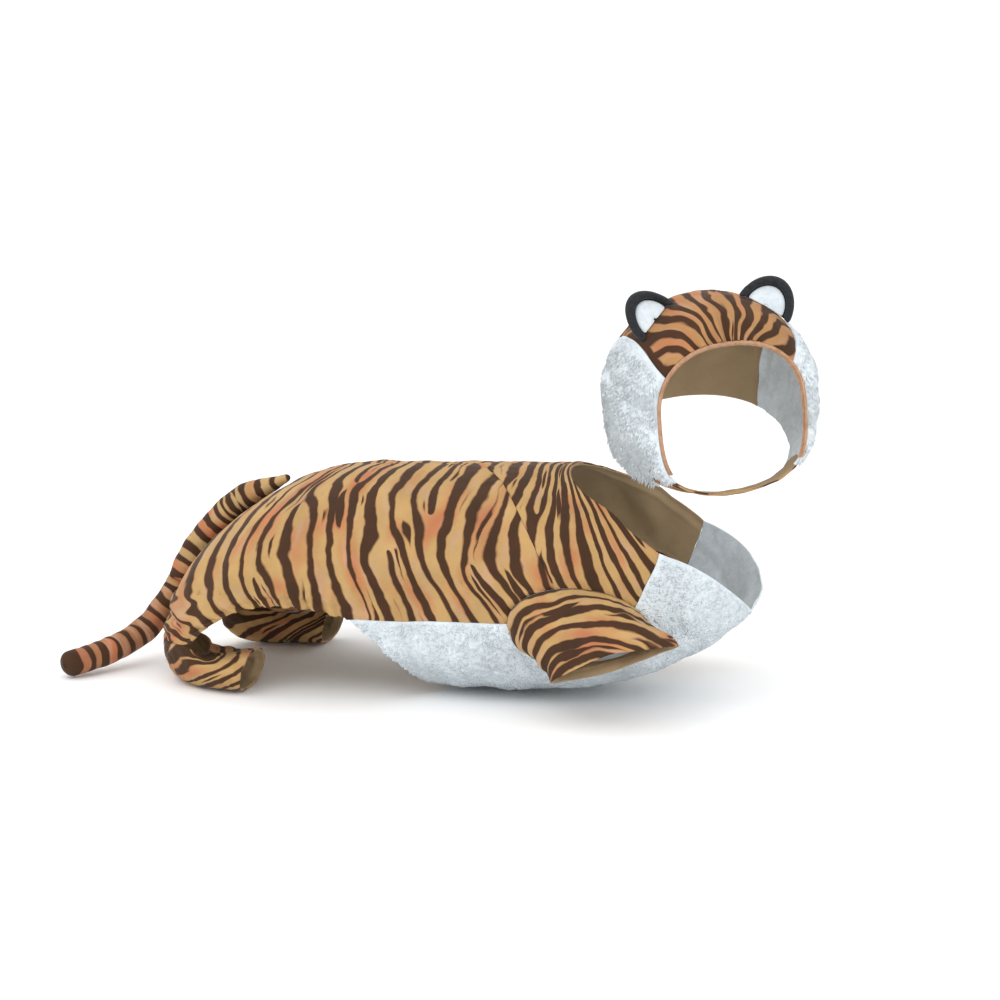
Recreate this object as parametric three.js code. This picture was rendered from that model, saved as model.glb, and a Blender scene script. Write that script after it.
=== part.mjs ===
import * as THREE from 'three';

// A dog's tiger costume in two parts, in the form that they have when worn lying down: a body suit with short
// sleeves, hind leg cuffs, a plush belly and a stuffed tail, and a separate hood with padded ears.
// Sizes are in millimetres: x points to the suit's neck, y to its left, z up, and z = 0 is the floor.
// The suit hangs from the spine, so the whole group is moved at the end to put its origin inside the back.

// The inside of the back's cloth, on the spine.
const heldAt = { x: -15, z: 230.6 };

const clothThickness = 2.4;
const seamGap = 0.5;
const right = -1;
const left = 1;

// Trunk sections from the hem at the rear to the neck: the point on the spine, the point under the belly
// and the half width between them. squareTop and squareLow say how full the corners are, 2 being an ellipse.
const trunkSections = [
  { topX: -308, topZ: 47, lowX: -120, lowZ: 52, halfWidth: 140, squareTop: 2.5, squareLow: 2.4 },
  { topX: -303, topZ: 65, lowX: -118, lowZ: 53, halfWidth: 141, squareTop: 2.5, squareLow: 2.4 },
  { topX: -295, topZ: 88, lowX: -118, lowZ: 54, halfWidth: 141, squareTop: 2.45, squareLow: 2.4 },
  { topX: -279, topZ: 119, lowX: -118, lowZ: 54, halfWidth: 140, squareTop: 2.4, squareLow: 2.4 },
  { topX: -253, topZ: 150, lowX: -116, lowZ: 52, halfWidth: 140, squareTop: 2.35, squareLow: 2.4 },
  { topX: -221, topZ: 177, lowX: -110, lowZ: 48, halfWidth: 140, squareTop: 2.3, squareLow: 2.4 },
  { topX: -185, topZ: 201, lowX: -102, lowZ: 40, halfWidth: 139, squareTop: 2.2, squareLow: 2.4 },
  { topX: -147, topZ: 218, lowX: -90, lowZ: 30, halfWidth: 137, squareTop: 2.15, squareLow: 2.5 },
  { topX: -106, topZ: 228, lowX: -72, lowZ: 20, halfWidth: 132, squareTop: 2.1, squareLow: 2.6 },
  { topX: -60, topZ: 231, lowX: -45, lowZ: 12, halfWidth: 126, squareTop: 2.1, squareLow: 2.8 },
  { topX: -15, topZ: 233, lowX: -8, lowZ: 6, halfWidth: 121, squareTop: 2.1, squareLow: 2.9 },
  { topX: 30, topZ: 235, lowX: 35, lowZ: 4, halfWidth: 118, squareTop: 2.1, squareLow: 2.9 },
  { topX: 72, topZ: 237, lowX: 85, lowZ: 4, halfWidth: 118, squareTop: 2.1, squareLow: 2.7 },
  { topX: 102, topZ: 238, lowX: 135, lowZ: 8, halfWidth: 119, squareTop: 2.1, squareLow: 2.6 },
  { topX: 121, topZ: 239, lowX: 190, lowZ: 17, halfWidth: 119, squareTop: 2.1, squareLow: 2.5 },
  { topX: 130, topZ: 239, lowX: 244, lowZ: 36, halfWidth: 116, squareTop: 2.1, squareLow: 2.4 },
  { topX: 136, topZ: 239, lowX: 292, lowZ: 64, halfWidth: 108, squareTop: 2.1, squareLow: 2.35 },
  { topX: 139, topZ: 239, lowX: 330, lowZ: 99, halfWidth: 99, squareTop: 2.1, squareLow: 2.3 },
  { topX: 141, topZ: 239, lowX: 352, lowZ: 142, halfWidth: 94, squareTop: 2.1, squareLow: 2.3 },
];

// Hood sections from the neck edge over the crown to the face edge, in the hood's own frame: x is the way that
// the opening faces, z is up over the crown, and (0, 0) is the middle of the opening.
const hoodSections = [
  { topX: -126, topZ: -4, lowX: 3, lowZ: -91, halfWidth: 92, squareTop: 2.2, squareLow: 2.2 },
  { topX: -124, topZ: 30, lowX: 4, lowZ: -91, halfWidth: 97, squareTop: 2.2, squareLow: 2.2 },
  { topX: -112, topZ: 64, lowX: 6, lowZ: -91, halfWidth: 101, squareTop: 2.2, squareLow: 2.2 },
  { topX: -88, topZ: 93, lowX: 8, lowZ: -92, halfWidth: 104, squareTop: 2.2, squareLow: 2.2 },
  { topX: -54, topZ: 109, lowX: 11, lowZ: -92, halfWidth: 105, squareTop: 2.15, squareLow: 2.2 },
  { topX: -20, topZ: 107, lowX: 15, lowZ: -92, halfWidth: 103, squareTop: 2.1, squareLow: 2.2 },
  { topX: 8, topZ: 95, lowX: 19, lowZ: -91, halfWidth: 98, squareTop: 2.2, squareLow: 2.2 },
  { topX: 25, topZ: 78, lowX: 22, lowZ: -89, halfWidth: 90, squareTop: 2.3, squareLow: 2.6 },
  { topX: 33, topZ: 63, lowX: 25, lowZ: -87, halfWidth: 79, squareTop: 2.35, squareLow: 3.2 },
];
const hoodPlace = { x: 300, y: -38, z: 316, yawDegrees: -56, pitchDegrees: 3, rollDegrees: 5 };

// Seam and hem lines of the suit's right half, drawn in side view.
const raglanSeam = [[29, 240], [78, 224], [112, 192], [136, 158], [150.6, 131.1]];
const neckEdge = [[136, 239.2], [186, 214], [220, 192], [252, 170]];
const neckEdgeFront = [[252, 170], [279, 160], [303, 145], [324, 123], [334, 90]];
const chestSeam = [[252, 170], [242, 141], [231, 115.5]];
const sideSeam = [[100, 92], [19, 89], [-67, 87]];
const thighHem = [[-67, 87], [-100, 94], [-137, 97], [-170, 94], [-202, 82], [-226, 66], [-241, 51.5]];
const bellySeam = [[172, 51], [178, 26], [184, -4]];
const bellyHem = [[-67, 87], [-42, 62], [-20, 32], [0, 10], [10, 0]];
const armhole = { x: 172, z: 92, halfLength: 72, halfHeight: 41 };

// Folds in the trunk's cloth, in side view: the line each follows, half its width and how far it stands out.
const trunkFolds = [
  { fromX: 20, fromZ: 222, toX: 96, toZ: 150, halfWidth: 15, height: 4 },
  { fromX: 62, fromZ: 196, toX: 100, toZ: 118, halfWidth: 13, height: -3.5 },
  { fromX: 150, fromZ: 215, toX: 172, toZ: 150, halfWidth: 14, height: 3 },
  { fromX: 186, fromZ: 196, toX: 206, toZ: 140, halfWidth: 12, height: -3 },
  { fromX: -40, fromZ: 205, toX: -20, toZ: 110, halfWidth: 20, height: 3 },
  { fromX: -98, fromZ: 190, toX: -92, toZ: 120, halfWidth: 18, height: -3 },
  { fromX: -160, fromZ: 175, toX: -205, toZ: 105, halfWidth: 16, height: 3.5 },
  { fromX: -205, fromZ: 160, toX: -246, toZ: 82, halfWidth: 14, height: -3.5 },
  { fromX: -285, fromZ: 88, toX: -235, toZ: 78, halfWidth: 9, height: 3.5 },
  { fromX: -294, fromZ: 68, toX: -240, toZ: 62, halfWidth: 8, height: -3 },
  { fromX: 10, fromZ: 64, toX: 60, toZ: 30, halfWidth: 16, height: 3 },
  { fromX: 96, fromZ: 62, toX: 130, toZ: 24, halfWidth: 14, height: -3 },
  { fromX: 262, fromZ: 138, toX: 290, toZ: 80, halfWidth: 13, height: 3 },
];

// Columns and rows of each panel.
const thighGathers = 11;
const sideColumns = 11;
const raglanRows = 8;
const armholeRearRows = 5;
const armholeTopRows = 5;
const chestSeamRows = 3;
const armholeLowRows = 6;
const chestColumns = 16;
const bellyFrontRows = 4;
const gatherHeight = 2.6;
const gatherReach = 5;

const degrees = Math.PI / 180;
const mix = (a, b, t) => a + (b - a) * t;
const smooth = (t) => {
  const k = Math.min(1, Math.max(0, t));
  return k * k * (3 - 2 * k);
};

// A value of a section table between its rows, on a smooth curve through them.
function rowValue(rows, key, u) {
  const last = rows.length - 1;
  const i = Math.min(last - 1, Math.max(0, Math.floor(u)));
  const t = u - i;
  const b = rows[i][key];
  const c = rows[i + 1][key];
  const a = i > 0 ? rows[i - 1][key] : 2 * b - c;
  const d = i + 2 <= last ? rows[i + 2][key] : 2 * c - b;
  return b + 0.5 * t * (c - a + t * (2 * a - 5 * b + 4 * c - d + t * (3 * (b - c) + d - a)));
}

const sectionEnds = (rows, u) => ({
  top: new THREE.Vector2(rowValue(rows, 'topX', u), rowValue(rows, 'topZ', u)),
  low: new THREE.Vector2(rowValue(rows, 'lowX', u), rowValue(rows, 'lowZ', u)),
});

// How far a section reaches at angle v from its top, as a share of its half height and half width.
function sectionReach(rows, u, v) {
  const fullness = mix(
    rowValue(rows, 'squareTop', u), rowValue(rows, 'squareLow', u), smooth(0.5 - 0.5 * Math.cos(v)),
  );
  return (Math.abs(Math.cos(v)) ** fullness + Math.abs(Math.sin(v)) ** fullness) ** (-1 / fullness);
}

// The point of a sectioned surface at section u and angle v, on its right side for v above 0.
function sectionPoint(rows, u, v) {
  const { top, low } = sectionEnds(rows, u);
  const reach = sectionReach(rows, u, v);
  const along = Math.cos(v) * reach;
  const middle = top.clone().add(low).multiplyScalar(0.5);
  const half = top.clone().sub(low).multiplyScalar(0.5 * along);
  return new THREE.Vector3(
    middle.x + half.x, right * rowValue(rows, 'halfWidth', u) * Math.sin(v) * reach, middle.y + half.y,
  );
}

function surfaceNormal(pointAt, u, v) {
  const step = 0.01;
  const alongU = pointAt(u + step, v).sub(pointAt(u - step, v));
  const alongV = pointAt(u, v + step).sub(pointAt(u, v - step));
  return alongV.cross(alongU).normalize();
}

// How far the trunk's cloth stands out at a point of its side view, from all the folds near it.
function foldHeight(x, z) {
  let height = 0;
  for (const fold of trunkFolds) {
    const dx = fold.toX - fold.fromX;
    const dz = fold.toZ - fold.fromZ;
    const along = ((x - fold.fromX) * dx + (z - fold.fromZ) * dz) / (dx * dx + dz * dz);
    const off = Math.hypot(x - mix(fold.fromX, fold.toX, along), z - mix(fold.fromZ, fold.toZ, along));
    const taper = smooth(1.25 - Math.abs(along - 0.5) * 2);
    height += fold.height * taper * Math.exp(-((off / fold.halfWidth) ** 2));
  }
  return height;
}

const trunkBase = (u, v) => sectionPoint(trunkSections, u, v);

function trunkPoint(u, v) {
  const point = trunkBase(u, v);
  const height = foldHeight(point.x, point.z) * smooth(Math.abs(Math.sin(v)) * 2.5);
  return point.addScaledVector(surfaceNormal(trunkBase, u, v), height);
}

const hoodPoint = (u, v) => sectionPoint(hoodSections, u, v);

function bisect(from, to, value) {
  let low = from;
  let high = to;
  for (let i = 0; i < 50; i += 1) {
    const middle = 0.5 * (low + high);
    if (value(middle) > 0 === value(from) > 0) low = middle;
    else high = middle;
  }
  return 0.5 * (low + high);
}

// Section u and angle v of a sectioned surface's right side at a point of its side view.
function locate(rows, [x, z]) {
  const side = (u) => {
    const { top, low } = sectionEnds(rows, u);
    return (top.x - low.x) * (z - low.y) - (top.y - low.y) * (x - low.x);
  };
  let near = rows.length - 1;
  while (near > 0 && side(near - 0.5) > 0 === side(rows.length - 1) > 0) near -= 0.5;
  const u = bisect(near, near - 0.5, side);
  const { top, low } = sectionEnds(rows, u);
  const half = top.clone().sub(low).multiplyScalar(0.5);
  const along = ((x - top.x + half.x) * half.x + (z - top.y + half.y) * half.y) / half.lengthSq();
  if (along >= 1) return [u, 0];
  if (along <= -1) return [u, Math.PI];
  return [u, bisect(0, Math.PI, (v) => Math.cos(v) * sectionReach(rows, u, v) - along)];
}

// Evenly spaced points on a smooth line through side-view points, as sections and angles of the trunk.
function seamLine(points, count) {
  const steps = 60;
  const located = points.map((point) => new THREE.Vector2(...locate(trunkSections, point)));
  const curve = new THREE.SplineCurve(located);
  const fine = Array.from({ length: steps + 1 }, (_, i) => curve.getPoint(i / steps));
  const lengths = [0];
  for (let i = 1; i <= steps; i += 1) {
    const step = trunkBase(fine[i].x, fine[i].y).distanceTo(trunkBase(fine[i - 1].x, fine[i - 1].y));
    lengths.push(lengths[i - 1] + step);
  }
  return Array.from({ length: count + 1 }, (_, i) => {
    const at = (lengths[steps] * i) / count;
    const k = Math.min(steps - 1, Math.max(0, lengths.findIndex((length) => length >= at) - 1));
    const t = (at - lengths[k]) / (lengths[k + 1] - lengths[k]);
    return [mix(fine[k].x, fine[k + 1].x, t), mix(fine[k].y, fine[k + 1].y, t)];
  });
}

// Points of the armhole between two angles, 0 at its front and 90 at its top.
function armholeLine(fromDegrees, toDegrees, count, grow = 0) {
  const found = [];
  for (let i = 0; i <= count; i += 1) {
    const angle = mix(fromDegrees, toDegrees, i / count) * degrees;
    found.push(locate(trunkSections, [
      armhole.x + (armhole.halfLength + grow) * Math.cos(angle),
      armhole.z + (armhole.halfHeight + grow) * Math.sin(angle),
    ]));
  }
  return found;
}

const joined = (...lines) => lines.flatMap((line, i) => (i ? line.slice(1) : line));
const reversed = (line) => line.slice().reverse();
const mirrored = (line) => line.map(([u, v]) => [u, 2 * Math.PI - v]);
const straight = (from, to, count) => Array.from(
  { length: count + 1 }, (_, i) => [mix(from[0], to[0], i / count), mix(from[1], to[1], i / count)],
);

// The grid of a four-sided panel from its edge lines: start and end run across it, near and far along it.
function panelGrid({ start, end, near, far }) {
  const columns = near.length - 1;
  const rows = start.length - 1;
  const corner = (line, s) => line[s ? line.length - 1 : 0];
  return near.map((_, i) => start.map((__, j) => [0, 1].map((k) => {
    const s = i / columns;
    const t = j / rows;
    const cornersNear = mix(corner(start, 0)[k], corner(end, 0)[k], s);
    const cornersFar = mix(corner(start, 1)[k], corner(end, 1)[k], s);
    return mix(start[j][k], end[j][k], s) + mix(near[i][k], far[i][k], t) - mix(cornersNear, cornersFar, t);
  })));
}

// Draws a panel's cut edges back by half the seam gap, in the plane of the cloth.
function drawnBack(points, normals) {
  const columns = points.length - 1;
  const rows = points[0].length - 1;
  const drawn = points.map((column) => column.map((point) => point.clone()));
  const shift = (i, j, inI, inJ) => {
    const along = inI
      ? points[i][Math.min(rows, j + 1)].clone().sub(points[i][Math.max(0, j - 1)])
      : points[Math.min(columns, i + 1)][j].clone().sub(points[Math.max(0, i - 1)][j]);
    const inward = points[i + inI][j + inJ].clone().sub(points[i][j]);
    const across = along.cross(normals[i][j]).normalize();
    drawn[i][j].addScaledVector(across, 0.5 * seamGap * Math.sign(across.dot(inward)));
  };
  for (let j = 0; j <= rows; j += 1) {
    shift(0, j, 1, 0);
    shift(columns, j, -1, 0);
  }
  for (let i = 0; i <= columns; i += 1) {
    shift(i, 0, 0, 1);
    shift(i, rows, 0, -1);
  }
  return drawn;
}

function meshGeometry(points, faces) {
  const geometry = new THREE.BufferGeometry();
  const positions = points.flatMap((point) => [point.x, point.y, point.z]);
  geometry.setAttribute('position', new THREE.Float32BufferAttribute(positions, 3));
  geometry.setIndex(faces.flat());
  geometry.computeVertexNormals();
  return geometry;
}

// A closed wall between an outer and an inner grid of points. side left mirrors it to the suit's left.
function wallGeometry(outer, inner, side = right) {
  const columns = outer.length - 1;
  const rows = outer[0].length - 1;
  const place = (point) => new THREE.Vector3(point.x, side === left ? -point.y : point.y, point.z);
  const points = [...outer.flat(), ...inner.flat()].map(place);
  const out = (i, j) => i * (rows + 1) + j;
  const ins = (i, j) => out(i, j) + (columns + 1) * (rows + 1);
  const faces = [];
  const quad = (a, b, c, d) => faces.push([a, b, c], [a, c, d]);
  for (let i = 0; i < columns; i += 1) {
    for (let j = 0; j < rows; j += 1) {
      quad(out(i, j), out(i, j + 1), out(i + 1, j + 1), out(i + 1, j));
      quad(ins(i, j), ins(i + 1, j), ins(i + 1, j + 1), ins(i, j + 1));
    }
    quad(out(i, 0), out(i + 1, 0), ins(i + 1, 0), ins(i, 0));
    quad(out(i + 1, rows), out(i, rows), ins(i, rows), ins(i + 1, rows));
  }
  for (let j = 0; j < rows; j += 1) {
    quad(out(0, j + 1), out(0, j), ins(0, j), ins(0, j + 1));
    quad(out(columns, j), out(columns, j + 1), ins(columns, j + 1), ins(columns, j));
  }
  return meshGeometry(points, side === left ? faces.map(([a, b, c]) => [a, c, b]) : faces);
}

// A panel of cloth on a surface, from a grid of its (u, v). lift moves the wall off the surface, and relief
// adds gathers at a column and row.
function panelGeometry(pointAt, grid, { side = right, lift = 0, thickness = clothThickness, relief } = {}) {
  const normals = grid.map((column) => column.map(([u, v]) => surfaceNormal(pointAt, u, v)));
  const on = grid.map((column, i) => column.map(([u, v], j) => pointAt(u, v).addScaledVector(
    normals[i][j], lift + (relief ? relief(i, j) : 0),
  )));
  const outer = drawnBack(on, normals);
  const inner = outer.map((column, i) => column.map(
    (point, j) => point.clone().addScaledVector(normals[i][j], -thickness),
  ));
  return wallGeometry(outer, inner, side);
}

// A wall through closed rings of points, open at both ends. Each ring pair is the outer and inner loop.
function ringWallGeometry(rings, side = right) {
  const around = rings[0].outer.length;
  const loops = [...rings.map((ring) => ring.outer), ...rings.map((ring) => ring.inner).reverse()];
  const place = (point) => new THREE.Vector3(point.x, side === left ? -point.y : point.y, point.z);
  const points = loops.flat().map(place);
  const faces = [];
  loops.forEach((_, i) => {
    const next = (i + 1) % loops.length;
    for (let j = 0; j < around; j += 1) {
      const k = (j + 1) % around;
      faces.push([i * around + j, i * around + k, next * around + k]);
      faces.push([i * around + j, next * around + k, next * around + j]);
    }
  });
  return meshGeometry(points, side === left ? faces.map(([a, b, c]) => [a, c, b]) : faces);
}

// Inner loops a cloth's thickness inside outer loops, found from the surface that the loops make.
function withInnerLoops(outers) {
  return outers.map((outer, i) => {
    const before = outers[Math.max(0, i - 1)];
    const after = outers[Math.min(outers.length - 1, i + 1)];
    const inner = outer.map((point, j) => {
      const next = outer[(j + 1) % outer.length];
      const previous = outer[(j + outer.length - 1) % outer.length];
      const around = next.clone().sub(previous);
      const along = after[j].clone().sub(before[j]);
      return point.clone().addScaledVector(around.cross(along).normalize(), -clothThickness);
    });
    return { outer, inner };
  });
}

const cloth = {
  tiger: { color: 0xd39a56, roughness: 0.85, metalness: 0 },
  tigerEdge: { color: 0xc98a52, roughness: 0.8, metalness: 0 },
  whitePlush: { color: 0xd8dfe4, roughness: 0.95, metalness: 0 },
  blackPlush: { color: 0x2d3033, roughness: 0.9, metalness: 0 },
};

function piece(name, geometry, finish) {
  const mesh = new THREE.Mesh(geometry, new THREE.MeshStandardMaterial(cloth[finish]));
  mesh.name = name;
  return mesh;
}

// Edge lines that neighbouring panels share.
const raglanLine = seamLine(raglanSeam, raglanRows);
const armholeMeets = { raglan: 107.3, side: 180, belly: 270, chest: 35 };
const armholeRear = armholeLine(armholeMeets.raglan, armholeMeets.side, armholeRearRows);
const armholeTop = armholeLine(armholeMeets.raglan, armholeMeets.chest, armholeTopRows);
const armholeFront = armholeLine(armholeMeets.chest, armholeMeets.belly - 360, armholeLowRows);
const armholeUnder = armholeLine(armholeMeets.belly, armholeMeets.side, bellyFrontRows);
const chestLine = seamLine(chestSeam, chestSeamRows);
const sideLine = seamLine(sideSeam, sideColumns);
const thighLine = seamLine(thighHem, 2 * thighGathers);
const bellyLine = seamLine(bellySeam, chestColumns / 2);
const evenTurns = (from, to, count) => Array.from({ length: count + 1 }, (_, i) => mix(from, to, i / count));
const armholeTurns = joined(
  evenTurns(armholeMeets.belly - 360, armholeMeets.chest, armholeLowRows),
  evenTurns(armholeMeets.chest, armholeMeets.raglan, armholeTopRows),
  evenTurns(armholeMeets.raglan, armholeMeets.side, armholeRearRows),
  evenTurns(armholeMeets.side, armholeMeets.belly, bellyFrontRows),
);
const spineAt = (line) => [line[0][0], 0];

// The back of the suit over one side: spine, raglan seam, rear of the armhole, side seam and gathered hem.
function backPanel(side) {
  const rear = straight([0, 0], [0, thighLine[thighLine.length - 1][1]], raglanRows + armholeRearRows);
  const front = joined(raglanLine, armholeRear);
  const far = joined(reversed(thighLine), reversed(sideLine));
  rear[rear.length - 1] = far[0];
  front[0] = spineAt(raglanLine);
  const spineColumns = far.length - 1;
  const near = straight(rear[0], front[0], spineColumns);
  const rows = front.length - 1;
  const relief = (i, j) => {
    if (i >= 2 * thighGathers) return 0;
    const atHem = smooth(1 - (rows - j) / gatherReach);
    return gatherHeight * Math.cos(Math.PI * i) * atHem * smooth(i / 3);
  };
  return panelGeometry(trunkPoint, panelGrid({ start: rear, end: front, near, far }), { side, relief });
}

// The shoulder between the raglan seam and the neck, down to the top of the armhole.
function shoulderPanel(side) {
  const start = [spineAt(raglanLine), ...raglanLine.slice(1)];
  const neckLine = seamLine(neckEdge, raglanRows);
  const end = [[neckLine[0][0], 0], ...neckLine.slice(1)];
  const far = joined(armholeTop, reversed(chestLine));
  const near = straight(start[0], end[0], far.length - 1);
  return panelGeometry(trunkPoint, panelGrid({ start, end, near, far }), { side });
}

// White plush over the chest, from one side of the neck edge to the other.
function chestPanel() {
  const start = joined(chestLine, armholeFront);
  const neck = seamLine(neckEdgeFront, chestColumns / 2);
  const near = joined(neck, reversed(mirrored(neck)));
  const far = joined(bellyLine, reversed(mirrored(bellyLine)));
  return panelGeometry(trunkPoint, panelGrid({ start, end: mirrored(start), near, far }));
}

// White plush under the belly, cut away to the rear.
function bellyPanel() {
  const start = joined(armholeUnder, sideLine);
  const rear = seamLine(bellyHem, chestColumns / 2);
  const near = joined(bellyLine, reversed(mirrored(bellyLine)));
  const far = joined(rear, reversed(mirrored(rear)));
  return panelGeometry(trunkPoint, panelGrid({ start, end: mirrored(start), near, far }));
}

// A smooth wall of rings from one loop of points to another. Each row holds a start and an end point and how
// hard the wall is pulled along its way at both.
function loftedWall(rows, rings, side) {
  const outers = [];
  for (let i = 0; i <= rings; i += 1) {
    const t = i / rings;
    const fromShare = (1 + 2 * t) * (1 - t) ** 2;
    outers.push(rows.map(({ from, fromPull, to, toPull }) => from.clone().multiplyScalar(fromShare)
      .addScaledVector(fromPull, t * (1 - t) ** 2)
      .addScaledVector(to, t * t * (3 - 2 * t))
      .addScaledVector(toPull, t * t * (t - 1))));
  }
  return ringWallGeometry(withInnerLoops(outers), side);
}

const closedLine = (rows) => new THREE.CatmullRomCurve3(
  rows.map((row) => new THREE.Vector3(row.x, row.y, row.z)), true, 'centripetal',
);

// Sleeve: from the armhole, out and down over the elbow, to a hem that stands open on the forearm.
const sleeveRings = 6;
const sleeveStartPull = 46;
const sleeveEndPull = 42;
const sleeveHem = [
  { angle: 0, x: 283, y: -131, z: 86 },
  { angle: 45, x: 262, y: -160, z: 88 },
  { angle: 90, x: 224, y: -172, z: 82 },
  { angle: 135, x: 182, y: -167, z: 61 },
  { angle: 180, x: 156, y: -150, z: 43 },
  { angle: 225, x: 172, y: -133, z: 43 },
  { angle: 270, x: 214, y: -126, z: 54 },
  { angle: 315, x: 256, y: -122, z: 72 },
];
const sleeveHemFacing = new THREE.Vector3(0.25, -0.28, -0.92).normalize();

// The sleeve starts at the armhole's own points, a seam gap inside the edges of the panels round it.
function sleeve(side) {
  const hem = closedLine(sleeveHem);
  const rows = armholeTurns.slice(0, -1).map((turn) => {
    const [[u, v]] = armholeLine(turn, turn, 1);
    const [[innerU, innerV]] = armholeLine(turn, turn, 1, -2);
    const normal = surfaceNormal(trunkPoint, u, v);
    const from = trunkPoint(u, v);
    const inward = trunkPoint(innerU, innerV).sub(from).normalize();
    return {
      from: from.addScaledVector(inward, seamGap).addScaledVector(normal, -0.5 * clothThickness),
      fromPull: normal.multiplyScalar(sleeveStartPull),
      to: hem.getPoint(((turn + 360) % 360) / 360),
      toPull: sleeveHemFacing.clone().multiplyScalar(sleeveEndPull),
    };
  });
  return loftedWall(rows, sleeveRings, side);
}

// Hind leg cuff: from under the hem of the back, down to the floor and forward to an opening for the foot.
const cuffAround = 18;
const cuffRings = 8;
const cuffPull = { front: 0.35, heel: 1.5 };
const cuffTop = [
  { angle: 0, x: -231, y: -108, z: 38 },
  { angle: 45, x: -230, y: -131, z: 38 },
  { angle: 90, x: -247, y: -137, z: 47.4 },
  { angle: 135, x: -275, y: -119, z: 46.6 },
  { angle: 180, x: -293, y: -92, z: 46.2 },
  { angle: 225, x: -299, y: -66, z: 46 },
  { angle: 270, x: -275, y: -58, z: 46 },
  { angle: 315, x: -247, y: -76, z: 44 },
];
const cuffFront = [
  { angle: 0, x: -179, y: -114, z: 44 },
  { angle: 45, x: -179, y: -138, z: 38 },
  { angle: 90, x: -181, y: -147, z: 23 },
  { angle: 135, x: -185, y: -138, z: 7 },
  { angle: 180, x: -187, y: -114, z: 1.5 },
  { angle: 225, x: -185, y: -90, z: 7 },
  { angle: 270, x: -181, y: -81, z: 23 },
  { angle: 315, x: -179, y: -90, z: 38 },
];

function hindLeg(side) {
  const top = closedLine(cuffTop);
  const front = closedLine(cuffFront);
  const rows = [];
  for (let j = 0; j < cuffAround; j += 1) {
    const from = top.getPoint(j / cuffAround);
    const to = front.getPoint(j / cuffAround);
    const heel = 0.5 - 0.5 * Math.cos((2 * Math.PI * j) / cuffAround);
    const pull = mix(cuffPull.front, cuffPull.heel, heel) * from.distanceTo(to);
    rows.push({
      from, to, fromPull: new THREE.Vector3(0, 0, -pull), toPull: new THREE.Vector3(pull, 0, 0),
    });
  }
  return loftedWall(rows, cuffRings, side);
}

// A stuffed tube along a line of centres, with rounded closed ends.
function stuffedTube(centres, radii, around) {
  const curve = new THREE.CatmullRomCurve3(centres, false, 'centripetal');
  const rings = radii.length;
  const points = [];
  const frames = curve.computeFrenetFrames(rings - 1, false);
  radii.forEach(({ at, radius }, i) => {
    const centre = curve.getPointAt(at);
    const tangent = curve.getTangentAt(at);
    const up = frames.normals[0].clone();
    const sideways = tangent.clone().cross(up).normalize();
    const upward = sideways.clone().cross(tangent).normalize();
    for (let j = 0; j < around; j += 1) {
      const angle = (2 * Math.PI * j) / around;
      points.push(centre.clone().addScaledVector(sideways, radius * Math.cos(angle))
        .addScaledVector(upward, radius * Math.sin(angle)));
    }
  });
  points.push(curve.getPointAt(0), curve.getPointAt(1));
  const faces = [];
  const first = rings * around;
  for (let j = 0; j < around; j += 1) {
    const k = (j + 1) % around;
    for (let i = 0; i < rings - 1; i += 1) {
      faces.push([i * around + j, (i + 1) * around + k, i * around + k]);
      faces.push([i * around + j, (i + 1) * around + j, (i + 1) * around + k]);
    }
    faces.push([first, j, k]);
    faces.push([first + 1, (rings - 1) * around + k, (rings - 1) * around + j]);
  }
  return meshGeometry(points, faces);
}

// The tail lies down the rump, drifting off its middle, then leaves it and curls to the right on the floor.
const tailRadius = 14.5;
const tailClear = 1;
const tailRoot = { share: 0.38, reach: 62 };
const tailOnRump = { from: 6.15, to: 1.4, steps: 9, driftDegrees: 4.5 };
const tailFree = [
  { x: -329, y: -18, z: 58 },
  { x: -341, y: -33, z: 40 },
  { x: -355, y: -58, z: 27 },
  { x: -371, y: -90, z: 19.5 },
  { x: -393, y: -131, z: 15.5 },
];
const tailRings = 25;
const tailAround = 10;

// The tail is thin at its root and reaches its full radius a little way down.
const tailRadiusAt = (distance) => tailRadius * mix(tailRoot.share, 1, smooth(distance / tailRoot.reach));

function tail() {
  const centres = [];
  let distance = 0;
  let before = null;
  for (let i = 0; i <= tailOnRump.steps; i += 1) {
    const along = i / tailOnRump.steps;
    const u = mix(tailOnRump.from, tailOnRump.to, along);
    const v = 0.001 + tailOnRump.driftDegrees * degrees * along ** 2;
    const onCloth = trunkBase(u, v);
    distance += before ? onCloth.distanceTo(before) : 0;
    before = onCloth;
    const off = tailRadiusAt(distance) + tailClear;
    centres.push(onCloth.clone().addScaledVector(surfaceNormal(trunkBase, u, v), off));
  }
  centres.push(...tailFree.map((row) => new THREE.Vector3(row.x, row.y, row.z)));
  const length = new THREE.CatmullRomCurve3(centres, false, 'centripetal').getLength();
  const radii = [];
  for (let i = 0; i < tailRings; i += 1) {
    const at = 0.5 - 0.5 * Math.cos((Math.PI * (i + 0.45)) / (tailRings - 0.1));
    const rounding = Math.sqrt(1 - Math.max(0, 1 - Math.min(at, 1 - at) / 0.032) ** 2);
    radii.push({ at, radius: tailRadiusAt(at * length) * rounding });
  }
  return stuffedTube(centres, radii, tailAround);
}

// Hood panels. The crown's seam with the side panels is given as an angle from the top at each section.
const crownSeam = [55, 54, 53, 52, 51, 51, 52, 53, 54];
const hoodSideThickness = 7;
const hoodSideLift = 3.5;
const chinDegrees = 134;
const crownGathers = 9;
const crownGatherHeight = 2.4;
const crownColumns = 8;
const crownRows = 2 * crownGathers;
const hoodSideRows = 9;
const hoodLast = hoodSections.length - 1;
const crownSeamAngle = (u) => rowValue(crownSeam.map((angle) => ({ angle })), 'angle', u) * degrees;

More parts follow.
